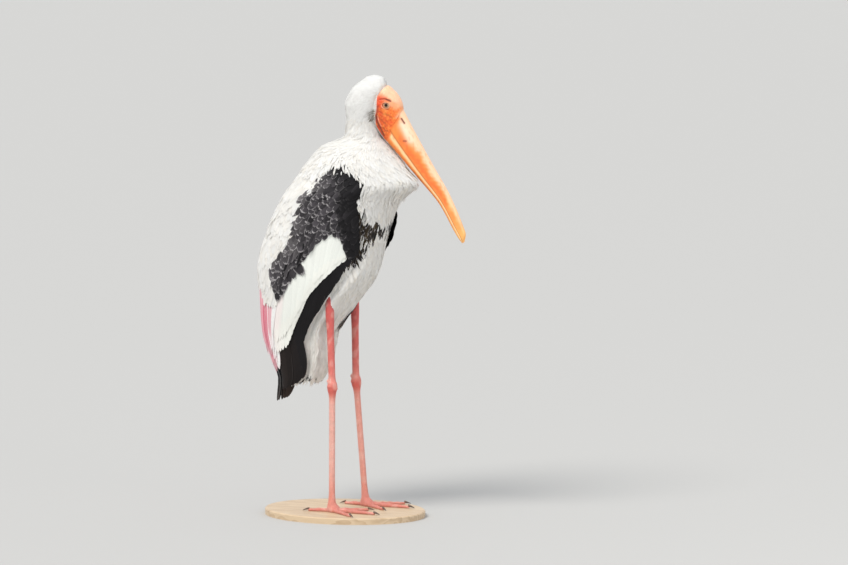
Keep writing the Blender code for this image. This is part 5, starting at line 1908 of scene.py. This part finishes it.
    def panel(self, side: str, sign: int, form: BodyForm) -> None:
        """The white panel: two layers of long greater coverts, each laid over the next."""
        tract = Tract("white_panel_" + side, Finish.PANEL, "white_feathers", 130 + sign, ("greater_coverts_" + side,))
        for layer, (number, reach) in enumerate(((25, 1.0), (24, 0.86))):
            share = (np.arange(number) + 0.5 * layer + 0.3) / number
            high, low = WING.line(WING.covert_tips, share), WING.line(WING.greater_tips, share)
            cut = replace(self.quill, width=0.0190 - 0.002 * layer, fullness=7.0, cup=0.26, roll=-7,
                          root_depth=0.0062 - 0.0010 * layer, tip_depth=0.0030 - 0.0012 * layer)
            tip = blend_colours(Shade.PANEL.over(number),
                                (Shade.PANEL_PINK.value, 0.45 * smooth_step(share, 0.84, 1.0)))
            row = tract.row(form, sign, cut, (high[0] + 0.020, high[1]), self.reached(high, low, reach))
            # roots a little darker: painted shade under the layer above
            row.into(tract.sheet, tract.tints(cut, tip * 0.97, tip, uneven=0.03, fringe=0.6))
        tract.done()

    def flight(self, side: str, sign: int, form: BodyForm) -> None:
        """The black flight quills below the panel."""
        tract = Tract("flight_quills_" + side, Finish.QUILL, "black_feathers", 140 + sign, ("flight_" + side,))
        number = 30
        share = (np.arange(number) + 0.5) / number
        high = WING.line(WING.greater_tips, np.clip(share - 0.04, 0, 1))
        low = WING.line(WING.wing_edge, np.clip(0.03 + 0.97 * share**0.92, 0, 1))
        if side == "left":
            low = low[0] + 0.020 * smooth_step(share, 0.55, 0.75), low[1]
        cut = replace(self.quill, width=0.0185, fullness=6.0, root_depth=0.0080, tip_depth=0.0050, cup=0.20, roll=-7)
        tip = blend_colours(Shade.BLACK.over(number), (Shade.BROWN.value, 0.4 * smooth_step(share, 0.6, 1.0)))
        row = tract.row(form, sign, cut, (high[0] + 0.025, high[1]), low)
        row.into(tract.sheet, tract.tints(cut, tip, tip, uneven=0.15, fringe=0.2))
        if side == "left":
            start, end = (np.linspace(*np.array(line, float), 3).T for line in WING.far_tip)
            cut = replace(cut, width=0.0130, root_depth=0.0020, tip_depth=-0.0040, fullness=4.0)
            row = tract.row(TRUNK, sign, cut, start, end)
            row.into(tract.sheet, tract.tints(cut, Shade.BLACK.value, Shade.OLIVE.over(3), turn=0.85, fringe=0.3))
        tract.done()

    def tertials(self, side: str, sign: int) -> None:
        """The rose tertials that hang over the tail, with lax plumes between."""
        tract = Tract("rose_tertials_" + side, Finish.ROSE, "rose_feathers", 150 + sign, ("tertials_" + side,))
        for layer, (number, width) in enumerate(((13, 0.026), (14, 0.022), (22, 0.011))):
            share = (np.arange(number) + 0.5) / number
            share = np.clip(share + tract.jitter(number, 0.01), 0.01, 0.99)
            high, low = WING.line(WING.tertial_roots, share), WING.line(WING.tertial_tips, share)
            reach = 1.0 - 0.10 * layer - 0.12 * tract.rng.uniform(0, 1, number)
            cut = replace(self.quill, width=width, fullness=4.5, root_depth=0.0075 - 0.0015 * layer,
                          tip_depth=0.0046 - 0.0018 * layer, cup=0.24, thickness=0.0005, unevenness=0.12, roll=-5)
            row = tract.row(OUTLINE, sign, cut, (high[0] + 0.030, high[1]), self.reached(high, low, reach))
            row.into(tract.sheet, self.rose_tint(tract, cut, np.linspace(0, 1, number)))
        tract.done()

    def rose_tint(self, tract: Tract, cut: Cut, share: Array) -> Array:
        """Colours of the tertials: near the panel white, then a deep rose streak low down, then pale rose.

        Args:
            tract: Source of their unevenness.
            cut: Their cut.
            share: Where each stands between the panel (0) and the middle of the back (1).

        Returns:
            An array (feathers, rows, 4).
        """
        s = cut.stations()[None, :]
        share = (share + tract.jitter(len(share), 0.07))[:, None]
        pink = 1 - 0.9 * smooth_step(s, 0.70, 0.86) * (1 - smooth_step(share, 0.28, 0.44))  # not at the first tips
        blush = pink * smooth_step(share + 0.15 * s, 0.12, 0.42)
        rose = smooth_step(share, 0.18, 0.42) * (1 - 0.5 * smooth_step(share, 0.75, 1.0)) * smooth_step(s, 0.05, 0.60)
        rose = pink * rose * (0.6 + 0.4 * tract.rng.uniform(size=share.shape))
        streak = bell(share - 0.43, 0.16) * smooth_step(s, 0.25, 0.60) * (1 - smooth_step(s, 0.85, 1.0))
        streak = pink * streak * tract.rng.uniform(0.60, 1, share.shape)
        colours = blend_colours(spread_colour(Shade.WHITE.value, blush.shape), (Shade.PALE_ROSE.value, blush),
                                (Shade.ROSE.value, 0.80 * rose), (Shade.DEEP_ROSE.value, 0.85 * streak))
        return with_fringe(colours * (1 + 0.05 * tract.rng.uniform(-1, 1, (len(share), 1, 1))), 0.6)

    def tail(self) -> None:
        """Twelve black tail feathers, folded into a narrow fan."""
        tract = Tract("tail_feathers", Finish.QUILL, "black_feathers", 160, ("tail",))
        number = 12
        degrees = np.linspace(139, 214, number)
        degrees = degrees[np.argsort(-np.abs(degrees - 180))]  # from the outer feathers in
        start = np.full(number, 0.345), 180 + (degrees - 180) * 0.7
        end = 0.199 + 0.008 * np.abs(np.sin(np.radians(degrees))), degrees
        cut = Cut(0.13, 0.024, rows=12, columns=7, fullness=8.0, root_depth=0.0190, tip_depth=0.0040, cup=0.15,
                  thickness=0.0007, unevenness=0.04, roll=-4)
        black = Shade.BLACK.over(number)
        worn = blend_colours(black, (Shade.WORN.value, 0.3 + 0.5 * tract.rng.uniform(size=number)))
        batch = tract.row(OUTLINE, 1, cut, start, end)
        batch.depth = batch.depth - np.arange(number)[:, None] * 0.0004
        batch.into(tract.sheet, tract.tints(cut, black, worn, turn=0.85, uneven=0.15, fringe=0.4))
        tract.done()


# ---------------------------------------------------------------- studio


@dataclass
class Studio:
    """Pale floor, soft light and the camera."""

    azimuth: float = 25.0
    rise: float = 7.0
    distance: float = 18.0
    seen_width: float = 1.6112
    sensor: float = 36.0
    centre: Triple = (0.1539, 0.43035, 0.06)  # the picture's middle along the camera's right, up and back

    def build(self) -> None:
        """Sets the stage."""
        self.floor()
        self.lights()
        self.camera()

    def floor(self) -> None:
        """A wide matt floor."""
        mesh = bpy.data.meshes.new("floor")
        mesh.from_pydata([(-30, -30, 0), (30, -30, 0), (30, 30, 0), (-30, 30, 0)], [], [(0, 1, 2, 3)])
        floor = linked("floor", mesh)
        material, _, shader = new_material("studio_floor")
        shader.inputs["Base Color"].default_value = (0.44, 0.43, 0.41, 1)
        shader.inputs["Roughness"].default_value = 0.9
        mesh.materials.append(material)

    def axes(self) -> tuple[Array, Array, Array]:
        """The camera's right, up and back directions."""
        turn, rise = math.radians(self.azimuth), math.radians(self.rise)
        right = np.array([math.cos(turn), math.sin(turn), 0.0])
        back = np.array([math.sin(turn) * math.cos(rise), -math.cos(turn) * math.cos(rise), math.sin(rise)])
        return right, np.cross(back, right), back

    def lights(self) -> None:
        """A wide soft key from the upper left of the camera, a large fill, and a pale world."""
        right, up, back = self.axes()
        key = bpy.data.lights.new("key", "SUN")
        key.energy, key.angle, key.color = 2.75, math.radians(28), (1.0, 0.985, 0.955)
        fill = bpy.data.lights.new("fill", "AREA")
        fill.shape, fill.size, fill.energy, fill.color = "DISK", 3.0, 40.0, (0.98, 0.99, 1.0)
        for light, way in ((key, -0.55 * right + 0.75 * back + 0.95 * up),
                           (fill, 0.9 * right + 0.9 * back + 0.15 * up)):
            lamp = linked(light.name + "_light", light)
            lamp.location = Vector(way * 3.2) + Vector((0, 0, 0.45))
            lamp.rotation_euler = Vector(way).to_track_quat("Z", "Y").to_euler()
        world = bpy.data.worlds.new("studio_world")
        world.use_nodes = True
        background = world.node_tree.nodes["Background"]
        background.inputs["Color"].default_value = (0.90, 0.94, 1.0, 1)
        background.inputs["Strength"].default_value = 0.90
        bpy.context.scene.world = world
        bpy.context.scene.view_settings.view_transform = "Standard"

    def camera(self) -> None:
        """A long lens at the height of the bird's body."""
        right, up, back = axes = self.axes()
        target = np.array(self.centre) @ axes + ORIGIN
        lens = bpy.data.cameras.new("camera")
        lens.sensor_width, lens.clip_end = self.sensor, 100.0
        lens.lens = self.sensor * self.distance / self.seen_width
        camera = linked("camera", lens)
        matrix = Matrix([(*row,) for row in np.stack([right, up, back, target + back * self.distance], axis=1)])
        matrix.resize_4x4()
        camera.matrix_world = matrix
        bpy.context.scene.camera = camera


def main() -> None:
    logging.basicConfig(level=logging.INFO, format="%(message)s")
    Skin().build()
    Bill().build()
    Eyes().build()
    build_claws()
    Plumage().build()
    dress_base()
    Studio().build()


if __name__ == "__main__":
    main()
